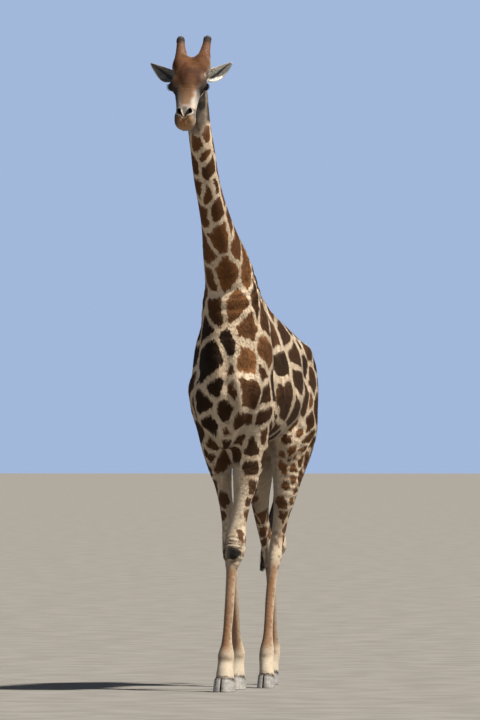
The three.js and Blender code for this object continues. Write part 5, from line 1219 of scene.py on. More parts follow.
def build_ears():
    m = Shader("ear_hide", Roughness=0.75)
    p = m.place()
    grain = m.noise(m.stretch(p, (0.3, 1, 1)), 350, 4, 0.6)
    m.to("Base Color", m.mix(0.7, m.colour("tone"), m.mix(m.fit(grain, 0.3, 0.7), (0.62, 0.60, 0.58), (1.25, 1.25, 1.25)), "MULTIPLY"))
    m.to("Normal", m.bump(grain, 0.0016, 0.5))
    for side, name in ((1, "left"), (-1, "right")):
        nt, na = 34, 27
        T, A = np.meshgrid(np.linspace(0, 1, nt) ** 0.92, np.linspace(-1, 1, na), indexing="ij")
        thin = 1 - 0.35 * np.abs(A) ** 3
        outer, n, aim, across = ear_point(side, T, A, (EAR["thick"] - 0.0022) * thin)
        inner = ear_point(side, T, A, -EAR["thick"] * 0.45 * thin)[0]
        P = np.concatenate([outer, inner[:, ::-1]], axis=1)
        V, F = tube(P)
        tt = np.concatenate([np.concatenate([T, T[:, ::-1]], axis=1).ravel(), [0.0, 1.0]])
        aa = np.concatenate([np.concatenate([A, A[:, ::-1]], axis=1).ravel(), [0.0, 0.0]])
        inn = np.concatenate([np.concatenate([np.zeros_like(A), np.ones_like(A)], axis=1).ravel(), [0.0, 0.5]])
        V = V + np.array([0, 0, 1.0]) * (0.0015 * noise(V, 0.05, 74))[:, None]
        o = make("ear_sheet_" + name, V, outward(V - V.mean(0), F), m.m)
        paint(o, "tone", ear_tone(side, tt, aa, inn, V))
        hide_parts("ear_" + name)


def build_hooves():
    m = Shader("hoof_horn", Roughness=0.55, IOR=1.5)
    p = m.place()
    streak = m.noise(m.stretch(p, (1, 1, 0.12)), 240, 4, 0.6)
    growth = m.noise(m.stretch(p, (0.06, 0.06, 1)), 190, 2, 0.5)
    dust = m.noise(p, 26, 5, 0.65)
    base = m.mix(m.fit(streak, 0.3, 0.7), (0.185, 0.175, 0.168), (0.340, 0.326, 0.308))
    base = m.mix(m.fit(dust, 0.42, 0.66), base, (0.40, 0.37, 0.325))
    # The toes' inner walls by the cleft are darkened: painted shade.
    base = m.mix(m.value("cleft_shade"), base, (0.075, 0.068, 0.062))
    base = m.mix(m.value("rim"), base, (0.105, 0.092, 0.082))
    m.to("Base Color", base)
    m.to("Roughness", m.fit(dust, 0.35, 0.7, 0.42, 0.75))
    m.to("Normal", m.bump(m.maths("ADD", m.maths("MULTIPLY", growth, 1.0), m.maths("MULTIPLY", streak, 0.5)), 0.0018, 0.6))
    for leg, rows, scale in (("foreleg_left", FORE_L, 1), ("foreleg_right", FORE_R, 1), ("hindleg_left", HIND_L, HOOF["hind"]), ("hindleg_right", HIND_R, HOOF["hind"])):
        foot = rows[-2]
        for side in (-1, 1):
            ang = np.linspace(0, 2 * math.pi, 96, endpoint=False)
            s, c = np.sin(ang), np.cos(ang)
            across = np.where(c < 0, 0.26 - 0.26 * np.abs(c) ** 0.20, 0.26 + 0.74 * np.abs(c) ** 0.80)
            rises = np.concatenate([[0.0, 0.03], np.linspace(0.08, 1.04, 20)])
            shares = np.interp(rises, [0, 0.03, 0.35, 0.7, 1.05], [0.965, 0.997, 0.983, 0.938, 0.875])
            P = []
            for rise, share in zip(rises, shares):
                share = share - 0.004 - 0.0035 * (0.5 + 0.5 * math.cos(rise * 46)) * (rise > 0.1)
                along = np.where(s < 0, HOOF["toe"], HOOF["back"]) * s * share * scale
                x = foot[0] + side * (HOOF["split"] - 0.0015 + 2 * HOOF["half"] * share * scale * across)
                y = foot[1] - HOOF["forward"] * (1 - rise) + along
                top = HOOF["coronet"] - HOOF["slope"] * (y - foot[1]) - 0.0008
                P.append(np.stack([x, y, np.minimum(rise * HOOF["height"], top)], 1))
            V, F = tube(P)
            V[:, 2] = np.maximum(V[:, 2], 0)
            name = leg + ("_toe_left" if side > 0 else "_toe_right")
            o = make("hoof_" + name, V, outward(V - V.mean(0), F), m.m)
            top = HOOF["coronet"] - HOOF["slope"] * (V[:, 1] - foot[1])
            paint(o, "rim", 1 - ramp(0.004, 0.020, top - V[:, 2]))
            # Painted shade on the toes' inner walls by the cleft.
            paint(o, "cleft_shade", 1 - ramp(0.0046, 0.0062, (V[:, 0] - foot[0]) * side))
            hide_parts(name)


# ---- Hair ------------------------------------------------------------------------------------------------------------
def tufts(root, normal, way, length, width, lift, curl=0.0, levels=1, thick=0.30, sink=0.0012):
    """Closed thin blades, three-sided and pointed, that lie along `way` and rise by `lift` radians, curling back down by
    `curl` of their length. Gives vertices, faces, each vertex's blade, and its share of the way to the tip."""
    n = len(root)
    normal = unit(normal)
    way = unit(way - normal * (way * normal).sum(1)[:, None])
    side = np.cross(way, normal)
    length, width, lift = (np.broadcast_to(np.asarray(x, float), (n,)) for x in (length, width, lift))
    curl = np.broadcast_to(np.asarray(curl, float), (n,))
    per = 3 * levels + 1
    V = np.empty((n, per, 3))
    for k in range(levels + 1):
        s = k / levels
        mid = root - normal * sink + way * (length * s * np.cos(lift))[:, None] + normal * (length * (s * np.sin(lift) - curl * s * s))[:, None]
        if k == levels:
            V[:, -1] = mid
            break
        w = width * (1.0, 1.0, 0.8, 0.55, 0.4)[min(k, 4)] * (1 - 0.6 * s) * 0.5
        V[:, 3 * k] = mid - side * w[:, None]
        V[:, 3 * k + 1] = mid + side * w[:, None]
        V[:, 3 * k + 2] = mid + normal * (w * 2 * thick)[:, None]
    F = [(0, 2, 1)]
    for k in range(levels - 1):
        a = 3 * k
        for i, j in ((0, 1), (1, 2), (2, 0)):
            F += [(a + i, a + j, a + 3 + j), (a + i, a + 3 + j, a + 3 + i)]
    a = 3 * (levels - 1)
    F += [(a, a + 1, per - 1), (a + 1, a + 2, per - 1), (a + 2, a, per - 1)]
    F = np.array(F)
    faces = (np.arange(n)[:, None, None] * per + F[None]).reshape(-1, 3)
    share = np.tile([min(k // 3, levels) / levels if k < per - 1 else 1.0 for k in range(per)], n)
    return V.reshape(-1, 3), faces, np.repeat(np.arange(n), per), share


def hair_piece(name, made, place, tone, shader, replaces=()):
    """One object of tufts, each coloured by its root, with the map that gives every tuft its own small patch."""
    V, F, blade, share = made
    o = make_hair(name, V, F, shader)
    paint(o, "tone", tone[blade])
    paint(o, "tip", share)
    uv = place[blade] + 0.003 * np.stack([np.where(np.arange(len(V)) % 3 == 0, -0.4, 0.4) * (1 - share), share - 0.5], 1)
    layer = o.data.uv_layers.new(name="OFBake")
    layer.data.foreach_set("uv", np.clip(uv[F.ravel()], 0, 1).astype(np.float32).ravel())
    if replaces:
        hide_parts(*replaces)
    return o


def make_hair(name, V, F, material):
    V = V + SHIFT
    me = bpy.data.meshes.new(name)
    me.vertices.add(len(V))
    me.vertices.foreach_set("co", V.astype(np.float32).ravel())
    me.loops.add(F.size)
    me.loops.foreach_set("vertex_index", F.ravel().astype(np.int32))
    me.polygons.add(len(F))
    me.polygons.foreach_set("loop_start", np.arange(0, F.size, 3, dtype=np.int32))
    me.update(calc_edges=True)
    o = bpy.data.objects.new(name, me)
    bpy.context.scene.collection.objects.link(o)
    me.materials.append(material)
    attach(o, "root")
    return o


def hair_shader(name, rough=0.72, sheen=0.0, dark_root=0.75, light_tip=1.15):
    m = Shader(name, Roughness=rough, IOR=1.5)
    m.b.inputs["Sheen Weight"].default_value = sheen
    m.b.inputs["Specular IOR Level"].default_value = 0.16
    p = m.place()
    n = m.noise(p, 420, 2, 0.5)
    shade = m.maths("MULTIPLY", m.fit(m.value("tip"), 0.0, 0.8, dark_root, light_tip, smooth=False), m.fit(n, 0.3, 0.7, 0.78, 1.22))
    comb = m.add("CombineColor", {0: shade, 1: shade, 2: shade}).outputs[0]
    m.to("Base Color", m.mix(1.0, m.colour("tone"), comb, "MULTIPLY"))
    m.to("Normal", m.bump(n, 0.0006, 0.4))
    return m.m


def scatter(V, F, gap, pick, keep=None):
    """Points over the faces about `gap` apart, with their face and weights."""
    p = V[F]
    area = 0.5 * np.linalg.norm(np.cross(p[:, 1] - p[:, 0], p[:, 2] - p[:, 0]), axis=1)
    g = gap(p.mean(1))
    want = area / g**2 * 1.75
    if keep is not None:
        want = want * keep(p.mean(1))
    count = np.floor(want + pick.random(len(F))).astype(int)
    face = np.repeat(np.arange(len(F)), count)
    u, v = pick.random(len(face)), pick.random(len(face))
    over = u + v > 1
    u, v = np.where(over, 1 - u, u), np.where(over, 1 - v, v)
    w = np.stack([1 - u - v, u, v], 1)
    P = (V[F[face]] * w[:, :, None]).sum(1)
    size = g[face]
    level = np.round(np.log2(size / 0.001) * 3).astype(int)  # thins each size of gap on its own grid
    cell = 0.001 * 2 ** (level / 3)
    q = np.floor(P / cell[:, None]).astype(np.int64)
    key = ((q[:, 0] + 5000) * 40000 + (q[:, 1] + 20000)) * 40000 + q[:, 2] + 5000
    _, first = np.unique(key * 64 + level, return_index=True)
    first.sort()
    return P[first], face[first], w[first]


def coat_length(P):
    x, y, z = P.T
    a, b, c = in_head(P)
    L = np.interp(z, [0.10, 0.30, 0.9, 1.3, 1.9, 3.2, 4.0, 4.3], [0.010, 0.013, 0.014, 0.018, 0.024, 0.023, 0.018, 0.014])
    head = (z > 4.15) & (y < -1.0) & (a > 0.02)
    L = np.where(head, np.interp(a, [0.0, 0.2, 0.45, 0.56], [0.012, 0.0095, 0.0075, 0.0050]), L)
    return L


def coat_gap(P):
    L = coat_length(P)
    return np.interp(L, [0.005, 0.010, 0.014, 0.024], [0.0034, 0.0042, 0.0052, 0.0069])


def bare(P):
    """Less hair on the nose, lips and lids, on the callus, and none inside the eyes and nostrils."""
    a, b, c = in_head(P)
    k = np.ones(len(P))
    face = (P[:, 2] > 4.1) & (a > 0.0)
    side = np.abs(c)
    u = a - NOSTRIL[0]
    v = side - NOSTRIL[2] + 0.30 * u
    hole = np.sqrt((u / 0.042) ** 2 + ((v + 12 * u * u - 0.003) / 0.022) ** 2) < 1
    k[face & hole & (b > 0)] = 0
    k[face & (a > 0.49) & (b > -0.02)] *= 0.45
    line = -0.052 - 0.055 * np.clip(0.60 - a, 0, 1) + 0.010 * np.cos((a - 0.45) * 22)
    k[face & (np.abs(b - line) < 0.007) & (a > 0.45)] = 0
    for s in (1, -1):
        q = P - EYE_AT[s]
        slit, up, out = eye_axes(s)
        ring = np.sqrt((q @ slit / 0.034) ** 2 + (q @ up / 0.024) ** 2)
        k[(ring < 1) & (q @ out > -0.01) & (np.linalg.norm(q, axis=1) < 0.06)] = 0
    q = np.sqrt(((P[:, 0] - 0.050) / 0.060) ** 2 + ((P[:, 1] + 0.262) / 0.036) ** 2 + ((P[:, 2] - 1.045) / 0.046) ** 2)
    k[q < 1] = 0
    k[P[:, 2] < 0.088] = 0
    return k


def build_coat(V, F, N, where, mark, brown, ground):
    pick = np.random.default_rng(21)
    region, along, turn, lie = where
    root, face, w = scatter(V, F, coat_gap, pick, bare)
    tri = F[face]
    blend = lambda x: (x[tri] * (w if x.ndim == 1 else w[:, :, None])).sum(1)
    n, way = unit(blend(N)), unit(blend(lie))
    first = tri[:, 0]
    m = blend(mark) + 0.0055 * noise(root, 0.012, 81) + 0.0030 * pick.normal(size=len(root))
    f = ramp(-0.0015, 0.0015, m)
    tone = blend(ground) * (1 - f)[:, None] + blend(brown) * f[:, None]
    quiet = np.clip(1 - ramp(1.0, 1.6, root[:, 2]) + ramp(4.1, 4.3, root[:, 2]), 0, 1)
    tone = tone * (1 + (0.19 - 0.09 * quiet) * pick.uniform(-1, 1, len(root)))[:, None]
    L = coat_length(root) * pick.uniform(0.75, 1.25, len(root))
    side = np.cross(way, n)
    way = way + side * (0.22 * noise(root, 0.05, 82) + 0.16 * pick.normal(size=len(root)))[:, None]
    lift = np.clip(0.105 - 0.035 * quiet + (0.035 - 0.015 * quiet) * pick.normal(size=len(root)), 0.03, 0.22)
    place = np.stack([turn[first], along[first]], 1)
    shader = hair_shader("coat_hair", 0.78, 0.0, 0.88, 1.10)
    reg = region[first]
    x, y = root[:, 0], root[:, 1]
    groups = {
        "coat_head": (reg == HEAD_), "coat_neck": (reg == NECK_),
        "coat_barrel_front": (reg == TRUNK_) & (y < 0.62), "coat_barrel_rear": (reg == TRUNK_) & (y >= 0.62),
        "coat_foreleg_left": reg == 2, "coat_foreleg_right": reg == 3, "coat_hindleg_left": reg == 4, "coat_hindleg_right": reg == 5, "coat_tail": reg == TAIL_,
    }
    total = 0
    for name, sel in groups.items():
        idx = np.nonzero(sel)[0]
        parts = max(1, math.ceil(len(idx) * 4 / 190000))
        uv = place[idx]
        lo, hi = uv.min(0), uv.max(0)
        uv = 0.004 + 0.992 * (uv - lo) / np.maximum(hi - lo, 1e-6)
        for k in range(parts):
            s = slice(k, None, parts)
            g = idx[s]
            made = tufts(root[g], n[g], way[g], L[g], L[g] * 0.20 + 0.0006, lift[g], thick=0.10)
            hair_piece(name + ("_%d" % k if parts > 1 else ""), made, uv[s], tone[g], shader)
            total += len(g) * 4
    print("coat triangles", total, {k: int(v.sum()) for k, v in groups.items()})


def nape(steps=260):
    """Points up the nape with the way out of it, and the height of the mane there."""
    rows = Chain(NECK, steps=1)
    s = np.linspace(1, len(rows.c) - 2, steps)
    k = np.clip(s.astype(int), 0, len(rows.c) - 2)
    f = (s - k)[:, None]
    mix = lambda x: x[k] * (1 - f) + x[k + 1] * f
    t = (s - 1) / (len(rows.c) - 3)
    h = MANE_HEIGHT * np.minimum(np.minimum(1, 0.35 + 5 * t), 0.5 + 6 * (1 - t))
    n = -unit(mix(rows.n))
    c = mix(rows.c) + n * mix(rows.dm[:, None])
    return c, n, unit(mix(rows.l)), unit(mix(rows.t)), h, t


def build_mane():
    pick = np.random.default_rng(31)
    c, n, l, t, h, share = nape()
    count = 7600
    s = pick.random(count) * (len(c) - 1.001)
    k = s.astype(int)
    f = (s - k)[:, None]
    mix = lambda x: x[k] * (1 - f) + x[k + 1] * f if x.ndim > 1 else x[k] * (1 - f[:, 0]) + x[k + 1] * f[:, 0]
    aside = np.clip(pick.normal(size=count) * 0.0080, -0.0165, 0.0165)
    root = mix(c) + mix(l) * aside[:, None] - mix(n) * 0.006
    up = unit(mix(n) - mix(t) * (0.42 + 0.12 * pick.normal(size=count))[:, None] + mix(l) * (aside * 16 + 0.06 * pick.normal(size=count))[:, None])
    out = unit(np.cross(up, mix(l)) + 0.25 * pick.normal(size=(count, 3)))
    L = (mix(h) + 0.004) * pick.uniform(0.72, 1.0, count)
    made = tufts(root, out, up, L, pick.uniform(0.0060, 0.0100, count), 0.0, 0.10, levels=3, thick=0.4, sink=0)
    tone = mixed(np.tile([0.125, 0.055, 0.026], (count, 1)), np.array([0.21, 0.11, 0.058]), pick.random(count)) * (0.8 + 0.3 * noise(root, 0.09, 83))[:, None]
    place = np.stack([0.5 + aside / 0.03, s / len(c)], 1)
    hair_piece("mane_hair", made, place, tone, hair_shader("mane_hair", 0.6, 0.05, 0.6, 1.3), ("mane_lower", "mane_upper"))


def strands(roots, heads, tips_, width, levels, pick, wave=0.01, sag=0.0):
    """Long three-sided locks, each a curve from root over a middle point to its tip."""
    n = len(roots)
    V = np.empty((n, 3 * levels + 1, 3))
    side = unit(np.cross(tips_ - roots, pick.normal(size=(n, 3))))
    other = unit(np.cross(tips_ - roots, side))
    phase, turns = pick.uniform(0, 6.28, n), pick.uniform(0.6, 1.8, n)
    for k in range(levels + 1):
        s = k / levels
        p = roots * (1 - s) ** 2 + heads * 2 * s * (1 - s) + tips_ * s * s
        p = p + side * (wave * s * np.sin(phase + turns * s * 6.28))[:, None] + other * (wave * s * np.cos(phase * 1.7 + turns * s * 5))[:, None]
        if k == levels:
            V[:, -1] = p
            break
        w = (width * (1 - 0.75 * s) * min(1, 0.5 + 3 * s) * 0.5)[:, None]
        for j in range(3):
            a = 2 * math.pi * j / 3
            V[:, 3 * k + j] = p + side * w * math.cos(a) + other * w * math.sin(a)
    per = 3 * levels + 1
    F = [(0, 2, 1)]
    for k in range(levels - 1):
        a = 3 * k
        for i, j in ((0, 1), (1, 2), (2, 0)):
            F += [(a + i, a + j, a + 3 + j), (a + i, a + 3 + j, a + 3 + i)]
    a = 3 * (levels - 1)
    F += [(a, a + 1, per - 1), (a + 1, a + 2, per - 1), (a + 2, a, per - 1)]
    faces = (np.arange(n)[:, None, None] * per + np.array(F)[None]).reshape(-1, 3)
    share = np.tile([(k // 3) / levels if k < per - 1 else 1.0 for k in range(per)], n)
    return V.reshape(-1, 3), faces, np.repeat(np.arange(n), per), share


def build_tail_tuft():
    pick = np.random.default_rng(41)
    tuft = Chain(TUFT, steps=2)
    n = 1100
    ang, rad = pick.uniform(0, 2 * math.pi, n), np.sqrt(pick.random(n))
    start = pick.uniform(0.0, 0.45, n) ** 1.5
    end = np.clip(start + pick.uniform(0.45, 1.0, n), 0.5, 0.985)

    def at(s, share):
        i = np.clip(s * (len(tuft.c) - 1), 0, len(tuft.c) - 1.001)
        k = i.astype(int)
        f = i - k
        mix = lambda x: x[k] * (1 - f) + x[k + 1] * f if x.ndim == 1 else x[k] * (1 - f)[:, None] + x[k + 1] * f[:, None]
        return mix(tuft.c) + mix(tuft.l) * (mix(tuft.w) * share * np.cos(ang))[:, None] + mix(tuft.n) * (mix(tuft.dp) * share * np.sin(ang))[:, None]

    roots = at(start, np.full(n, 0.25))
    heads = at((start + end) / 2, 1.08 * rad)
    tips_ = at(end, 0.86 * rad)
    made = strands(roots, heads, tips_, pick.uniform(0.0024, 0.0050, n), 9, pick, 0.006)
    tone = np.tile([0.020, 0.016, 0.014], (n, 1)) * pick.uniform(0.6, 1.8, n)[:, None] + np.array([0.010, 0.005, 0.002]) * pick.random(n)[:, None]
    place = np.stack([ang / 6.2832, start], 1)
    hair_piece("tail_hair", made, place, tone, hair_shader("tail_hair", 0.42, 0.1, 0.9, 1.2), ("tail_tuft",))


def build_face_hair(horns):
    """Lashes, the hair of the ears, and round the horns' tips."""
    pick = np.random.default_rng(51)
    dark = hair_shader("lash_hair", 0.35, 0.0, 1.0, 1.0)
    pale = hair_shader("ear_hair", 0.7, 0.05, 0.85, 1.15)
    roots, heads, ends, place = [], [], [], []
    for side in (1, -1):
        slit, up, out = eye_axes(side)
        for upper, count, long_ in ((1, 74, 0.036), (-1, 34, 0.016)):
            h = np.linspace(-0.0235, 0.0225, count) + pick.normal(size=count) * 0.0006
            v = upper * (slit_height(h, np.full(count, float(upper))) + 0.0015)
            w = np.sqrt(np.maximum((EYE_R + 0.0035) ** 2 - h**2 - v**2, 1e-6))
            p = EYE_AT[side] + h[:, None] * slit + v[:, None] * up + w[:, None] * out
            L = long_ * pick.uniform(0.65, 1.0, count) * (1 - 0.35 * (h / 0.024) ** 2)
            if upper > 0:
                tip = p + (out * 0.90 - up * 0.42)[None] * L[:, None] + slit * (h * 14 * L)[:, None] + pick.normal(size=(count, 3)) * 0.0016
                head = p + (out * 0.62 + up * 0.14)[None] * L[:, None]
            else:
                tip = p + (out * 0.75 - up * 0.60)[None] * L[:, None] + slit * (h * 10 * L)[:, None] + pick.normal(size=(count, 3)) * 0.001
                head = p + (out * 0.55 - up * 0.15)[None] * L[:, None]
            roots.append(p), heads.append(head), ends.append(tip)
            place.append(np.stack([0.25 + 0.25 * side + h * 4, np.full(count, 0.5 + 0.2 * upper)], 1))
    R, H, T = np.concatenate(roots), np.concatenate(heads), np.concatenate(ends)
    made = strands(R, H, T, np.full(len(R), 0.0013), 4, pick, 0.0006)
    hair_piece("lashes", made, np.concatenate(place), np.tile([0.010, 0.008, 0.007], (len(R), 1)), dark)

    # Ears: long pale hair from the edges over the cup, and short hair on the back.
    for side, name in ((1, "left"), (-1, "right")):
        n1, n2 = 1500, 2600
        t = pick.uniform(0.02, 0.93, n1)
        a = np.sign(pick.normal(size=n1)) * pick.uniform(0.30, 0.97, n1) ** 0.6
        p, n, aim, across = ear_point(side, t, a, np.full(n1, -EAR["thick"] * 0.45))
        inward = unit(across[None] * -np.sign(a)[:, None] * 0.55 + aim[None] * 0.85)
        L1 = pick.uniform(0.012, 0.026, n1) * (1 - 0.5 * t)
        one = tufts(p, -n, inward, L1, 0.0022, 0.20, 0.05, levels=2)
        c1 = ear_tone(side, t, a, np.ones(n1), p) * pick.uniform(0.8, 1.25, n1)[:, None]
        t2, a2 = pick.uniform(0.0, 0.97, n2), pick.uniform(-0.98, 0.98, n2)
        p2, m2, aim, across = ear_point(side, t2, a2, np.full(n2, EAR["thick"] - 0.0026))
        two = tufts(p2, m2, np.tile(aim, (n2, 1)), pick.uniform(0.006, 0.011, n2), 0.0022, 0.06)
        c2 = ear_tone(side, t2, a2, np.zeros(n2), p2) * pick.uniform(0.8, 1.2, n2)[:, None]
        hair_piece("ear_fringe_" + name, one, np.stack([0.5 + a / 2, t], 1), c1, pale)
        hair_piece("ear_back_" + name, two, np.stack([0.5 + a2 / 2, t2], 1), c2, pale)

    # Horns: short hair up the shaft, a ragged black ring of it under the bare tip.
    shader = hair_shader("horn_hair", 0.7, 0.02, 0.8, 1.12)
    for (V, F, height, axis, root), name in zip(horns, ("left", "right")):
        Nv = vertex_normals(V, F)
        p, face, w = scatter(V, F, lambda q: np.full(len(q), 0.0037), pick, lambda q: (((q - root) @ axis) < 0.212).astype(float))
        n = unit((Nv[F[face]] * w[:, :, None]).sum(1))
        hh = (p - root) @ axis
        L = np.interp(hh, [0, 0.12, 0.18, 0.205], [0.012, 0.010, 0.011, 0.014]) * pick.uniform(0.7, 1.2, len(p))
        way = np.tile(axis, (len(p), 1)) + 0.25 * pick.normal(size=(len(p), 3))
        made = tufts(p, n, way, L, 0.0024, np.where(hh > 0.18, 0.24, 0.14) * pick.uniform(0.6, 1.4, len(p)))
        tone = horn_tone(p, hh + 0.006 * pick.normal(size=len(p)), 0) * pick.uniform(0.8, 1.2, len(p))[:, None]
        r = p - root - hh[:, None] * axis
        place = np.stack([np.arctan2(r[:, 1], r[:, 0]) / 6.2832 % 1, np.clip(hh / 0.24, 0, 1)], 1)
        hair_piece("horn_hair_" + name, made, place, tone, shader)


def build_bristles(V, F, N):
    """Bristles of the chin and lips, and the longer hair where it breaks the outline: fetlocks and coronets."""
    pick = np.random.default_rng(61)
    a, b, c = in_head(V)
    chin = np.nonzero((a > 0.50) & (b < -0.055) & (a < 0.63))[0]
    lip = np.nonzero((a > 0.56) & (b < 0.005) & (b > -0.045))[0]
    idx = np.concatenate([pick.choice(chin, 150), pick.choice(lip, 110)])
    L = np.concatenate([pick.uniform(0.010, 0.022, 150), pick.uniform(0.005, 0.011, 110)])
    way = unit(E_A * 0.7 - E_B * 0.5)
    made = tufts(V[idx], N[idx] * 0.8, np.tile(way, (len(idx), 1)), L, 0.0011, 0.75, 0.1, levels=2, thick=0.5)
    tone = np.tile([0.10, 0.08, 0.065], (len(idx), 1)) * pick.uniform(0.5, 1.5, len(idx))[:, None]
    place = np.stack([0.5 + c[idx] * 3, np.clip((a[idx] - 0.45) * 5, 0, 1)], 1)
    hair_piece("bristles", made, place, tone, hair_shader("bristle_hair", 0.45, 0.0, 1.0, 1.0))
    roots, norm, way, L, tone, place = [], [], [], [], [], []
    for i, f in enumerate(limbs):
        x, y = f.c[-2][:2]
        top = HOOF["coronet"]
        near = np.nonzero((np.abs(V[:, 0] - x) < 0.12) & (np.abs(V[:, 1] - y) < 0.17) & (V[:, 2] < 0.118 - HOOF["slope"] * (V[:, 1] - y)) & (V[:, 2] > 0.088 - HOOF["slope"] * (V[:, 1] - y)))[0]
        pick_ = pick.choice(near, 900)
        jitter = pick.normal(size=(900, 3)) * 0.003
        roots.append(V[pick_] + jitter - N[pick_] * (jitter * N[pick_]).sum(1)[:, None]), norm.append(N[pick_])
        way.append(np.tile([0, 0, -1.0], (900, 1)) + 0.15 * pick.normal(size=(900, 3)))
        L.append(pick.uniform(0.012, 0.022, 900))
        tone.append(np.tile([0.090, 0.068, 0.050], (900, 1)) * pick.uniform(0.5, 2.2, 900)[:, None])
        place.append(np.stack([(np.arctan2(V[pick_, 1] - y, V[pick_, 0] - x) / 6.2832 % 1) / 4 + i / 4, pick.random(900) * 0.3], 1))
        fet = np.nonzero((np.abs(V[:, 0] - x) < 0.12) & (V[:, 2] < 0.30) & (V[:, 2] > 0.215) & (N[:, 1] > 0.45) & (np.abs(V[:, 1] - y) < 0.22))[0]
        if len(fet):
            p2 = pick.choice(fet, 260)
            roots.append(V[p2]), norm.append(N[p2]), way.append(np.tile([0, 0.35, -1.0], (260, 1)) + 0.15 * pick.normal(size=(260, 3)))
            L.append(pick.uniform(0.016, 0.030, 260)), tone.append(np.tile([0.34, 0.27, 0.20], (260, 1)) * pick.uniform(0.5, 1.2, 260)[:, None])
            place.append(np.stack([pick.random(260) / 4 + i / 4, 0.5 + pick.random(260) * 0.4], 1))
    cat = np.concatenate
    roots, norm, way, L, tone, place = cat(roots), cat(norm), cat(way), cat(L), cat(tone), cat(place)
    made = tufts(roots, norm, way, L, 0.0026, 0.10, 0.03, levels=2)
    hair_piece("feather", made, place, tone, hair_shader("feather_hair", 0.7, 0.02, 0.8, 1.15))


# ---- Floor, light and camera -----------------------------------------------------------------------------------------
def stage():
    m = Shader("floor_paint", Roughness=0.85)
    p = m.place()
    m.to("Base Color", m.mix(m.fit(m.noise(p, 2.2, 5), 0.35, 0.65), (0.186, 0.171, 0.151), (0.232, 0.215, 0.190)))
    m.to("Normal", m.bump(m.noise(p, 60, 4), 0.002, 0.4))
    n, size = 8, 1500.0
    V, F = [], []
    for i in range(n + 1):
        for j in range(n + 1):
            V.append((-size + 2 * size * i / n, -size + 2 * size * j / n, 0.0))
    for i in range(n):
        for j in range(n):
            a = i * (n + 1) + j
            F.append((a, a + n + 1, a + n + 2, a + 1))
    floor = make("floor", V, F, m.m, False, body=None, shift=False)
    world = bpy.data.worlds.new("studio")
    bpy.context.scene.world = world
    world.use_nodes = True
    t = world.node_tree
    bg = t.nodes["Background"]
    co, sep = t.nodes.new("ShaderNodeTexCoord"), t.nodes.new("ShaderNodeSeparateXYZ")
    t.links.new(co.outputs["Generated"], sep.inputs[0])
    band = t.nodes.new("ShaderNodeMapRange")  # a pale blue backdrop round the horizon, under a dimmer dome
    band.interpolation_type = "SMOOTHSTEP"
    t.links.new(sep.outputs["Z"], band.inputs["Value"])
    for k, v in (("From Min", 0.07), ("From Max", 0.17), ("To Min", 0.0), ("To Max", 1.0)):
        band.inputs[k].default_value = v
    mix = t.nodes.new("ShaderNodeMix")
    mix.data_type = "RGBA"
    t.links.new(band.outputs[0], mix.inputs[0])
    mix.inputs[6].default_value = (0.36, 0.477, 0.709, 1)
    mix.inputs[7].default_value = (0.098, 0.112, 0.140, 1)
    t.links.new(mix.outputs[2], bg.inputs[0])
    bg.inputs[1].default_value = 1.0
    for name, way, angle, power, colour in (
        ("key", (0.552, -0.045, 0.833), 4, 7.2, (1.0, 0.955, 0.88)),
        ("front", (0.10, -0.90, 0.45), 60, 0.10, (1.0, 0.98, 0.96)),
    ):
        light = bpy.data.lights.new(name, "SUN")
        light.angle, light.energy, light.color = math.radians(angle), power, colour
        o = bpy.data.objects.new(name, light)
        o.rotation_euler = (-Vector(way)).to_track_quat("-Z", "Y").to_euler()
        bpy.context.scene.collection.objects.link(o)
    cam = bpy.data.cameras.new("camera")
    cam.lens, cam.sensor_width, cam.clip_start, cam.clip_end = 7884 / 720 * 36, 36.0, 1.0, 4000.0
    o = bpy.data.objects.new("camera", cam)
    o.location = (15.697 + SHIFT[0], -58.382 + SHIFT[1], 1.7276)
    look = Vector((-math.sin(math.radians(15)), math.cos(math.radians(15)), 0.0))
    o.rotation_euler = look.to_track_quat("-Z", "Y").to_euler()
    cam.shift_y = (465 - 360) / 720
    bpy.context.scene.collection.objects.link(o)
    bpy.context.scene.camera = o
    bpy.context.scene.view_settings.view_transform = "Standard"


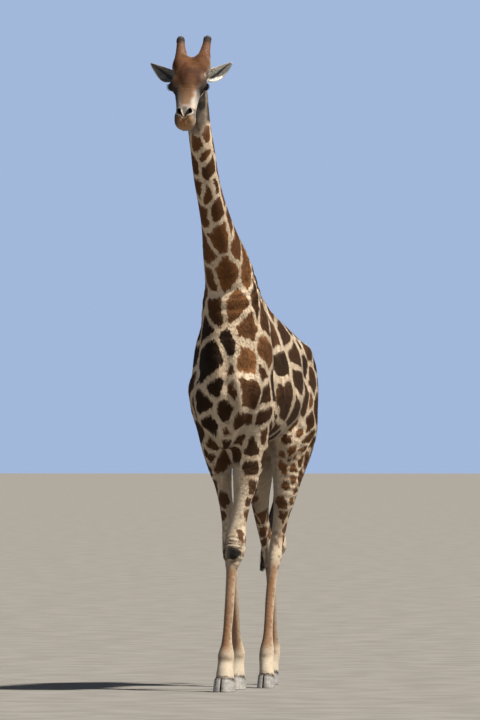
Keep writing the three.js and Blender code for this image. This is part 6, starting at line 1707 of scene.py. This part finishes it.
def coat_shader():
    """The skin with its short flat hair: the two tones parted along a ragged edge, and a fine grain that lies down the body."""
    m = Shader("coat_short", Roughness=0.78, IOR=1.42)
    m.b.inputs["Specular IOR Level"].default_value = 0.16
    p = m.place()
    ragged = m.maths("ADD", m.value("mark"), m.maths("MULTIPLY", m.maths("SUBTRACT", m.noise(m.stretch(p, (1, 1, 0.55)), 85, 4, 0.7), 0.5), 0.036))
    inside = m.fit(ragged, -0.0028, 0.0028)
    grain = m.noise(m.stretch(p, (1, 1, 0.28)), 330, 3, 0.6)
    blotch = m.noise(p, 14, 4, 0.6)
    base = m.mix(inside, m.colour("ground"), m.colour("brown"))
    base = m.mix(0.55, base, m.mix(m.fit(grain, 0.3, 0.7), (0.55, 0.52, 0.48), (1.32, 1.30, 1.26)), "MULTIPLY")
    base = m.mix(0.45, base, m.mix(m.fit(blotch, 0.3, 0.7), (0.80, 0.79, 0.78), (1.12, 1.12, 1.12)), "MULTIPLY")
    m.to("Base Color", base)
    m.to("Normal", m.bump(m.maths("ADD", m.maths("MULTIPLY", grain, 0.8), m.maths("MULTIPLY", blotch, 0.5)), 0.0022, 0.55))
    return m.m


V, F = build_skin()
N = vertex_normals(V, F)
E, _, _ = edges_of(F)
where = locate(V)
fall = np.clip(-1.4 * N[:, 1] - 0.3, 0, 1) * ((V[:, 2] > 1.6) & (V[:, 2] < 3.0))  # hair falls down the breast and the front of the shoulders
lie = where[3] + fall[:, None] * np.array([0, -0.2, -1.5])
lie = lie - N * (lie * N).sum(1)[:, None]
lie = smooth(lie, E, len(V), 26)
where = (*where[:3], unit(lie - N * (lie * N).sum(1)[:, None]))
seeds, size, known = spread(V)
mark, who = markings(V, seeds, size, known)
brown, ground = tones(V, N, who)
brown = brown * (1.10 - 0.32 * ramp(0.0, 0.055, mark))[:, None]
flesh = make("skin", V, F, coat_shader())
paint(flesh, "mark", mark)
paint(flesh, "brown", brown)
paint(flesh, "ground", ground)
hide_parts("trunk", "neck_lower", "neck_upper", "head", "tail", *[leg + part for leg in ("foreleg_left", "foreleg_right", "hindleg_left", "hindleg_right") for part in ("_upper", "_lower")])
build_eyes()
horns = build_horns()
build_ears()
build_hooves()
build_mane()
build_tail_tuft()
build_face_hair(horns)
build_bristles(V, F, N)
build_coat(V, F, N, where, mark, brown, ground)
stage()
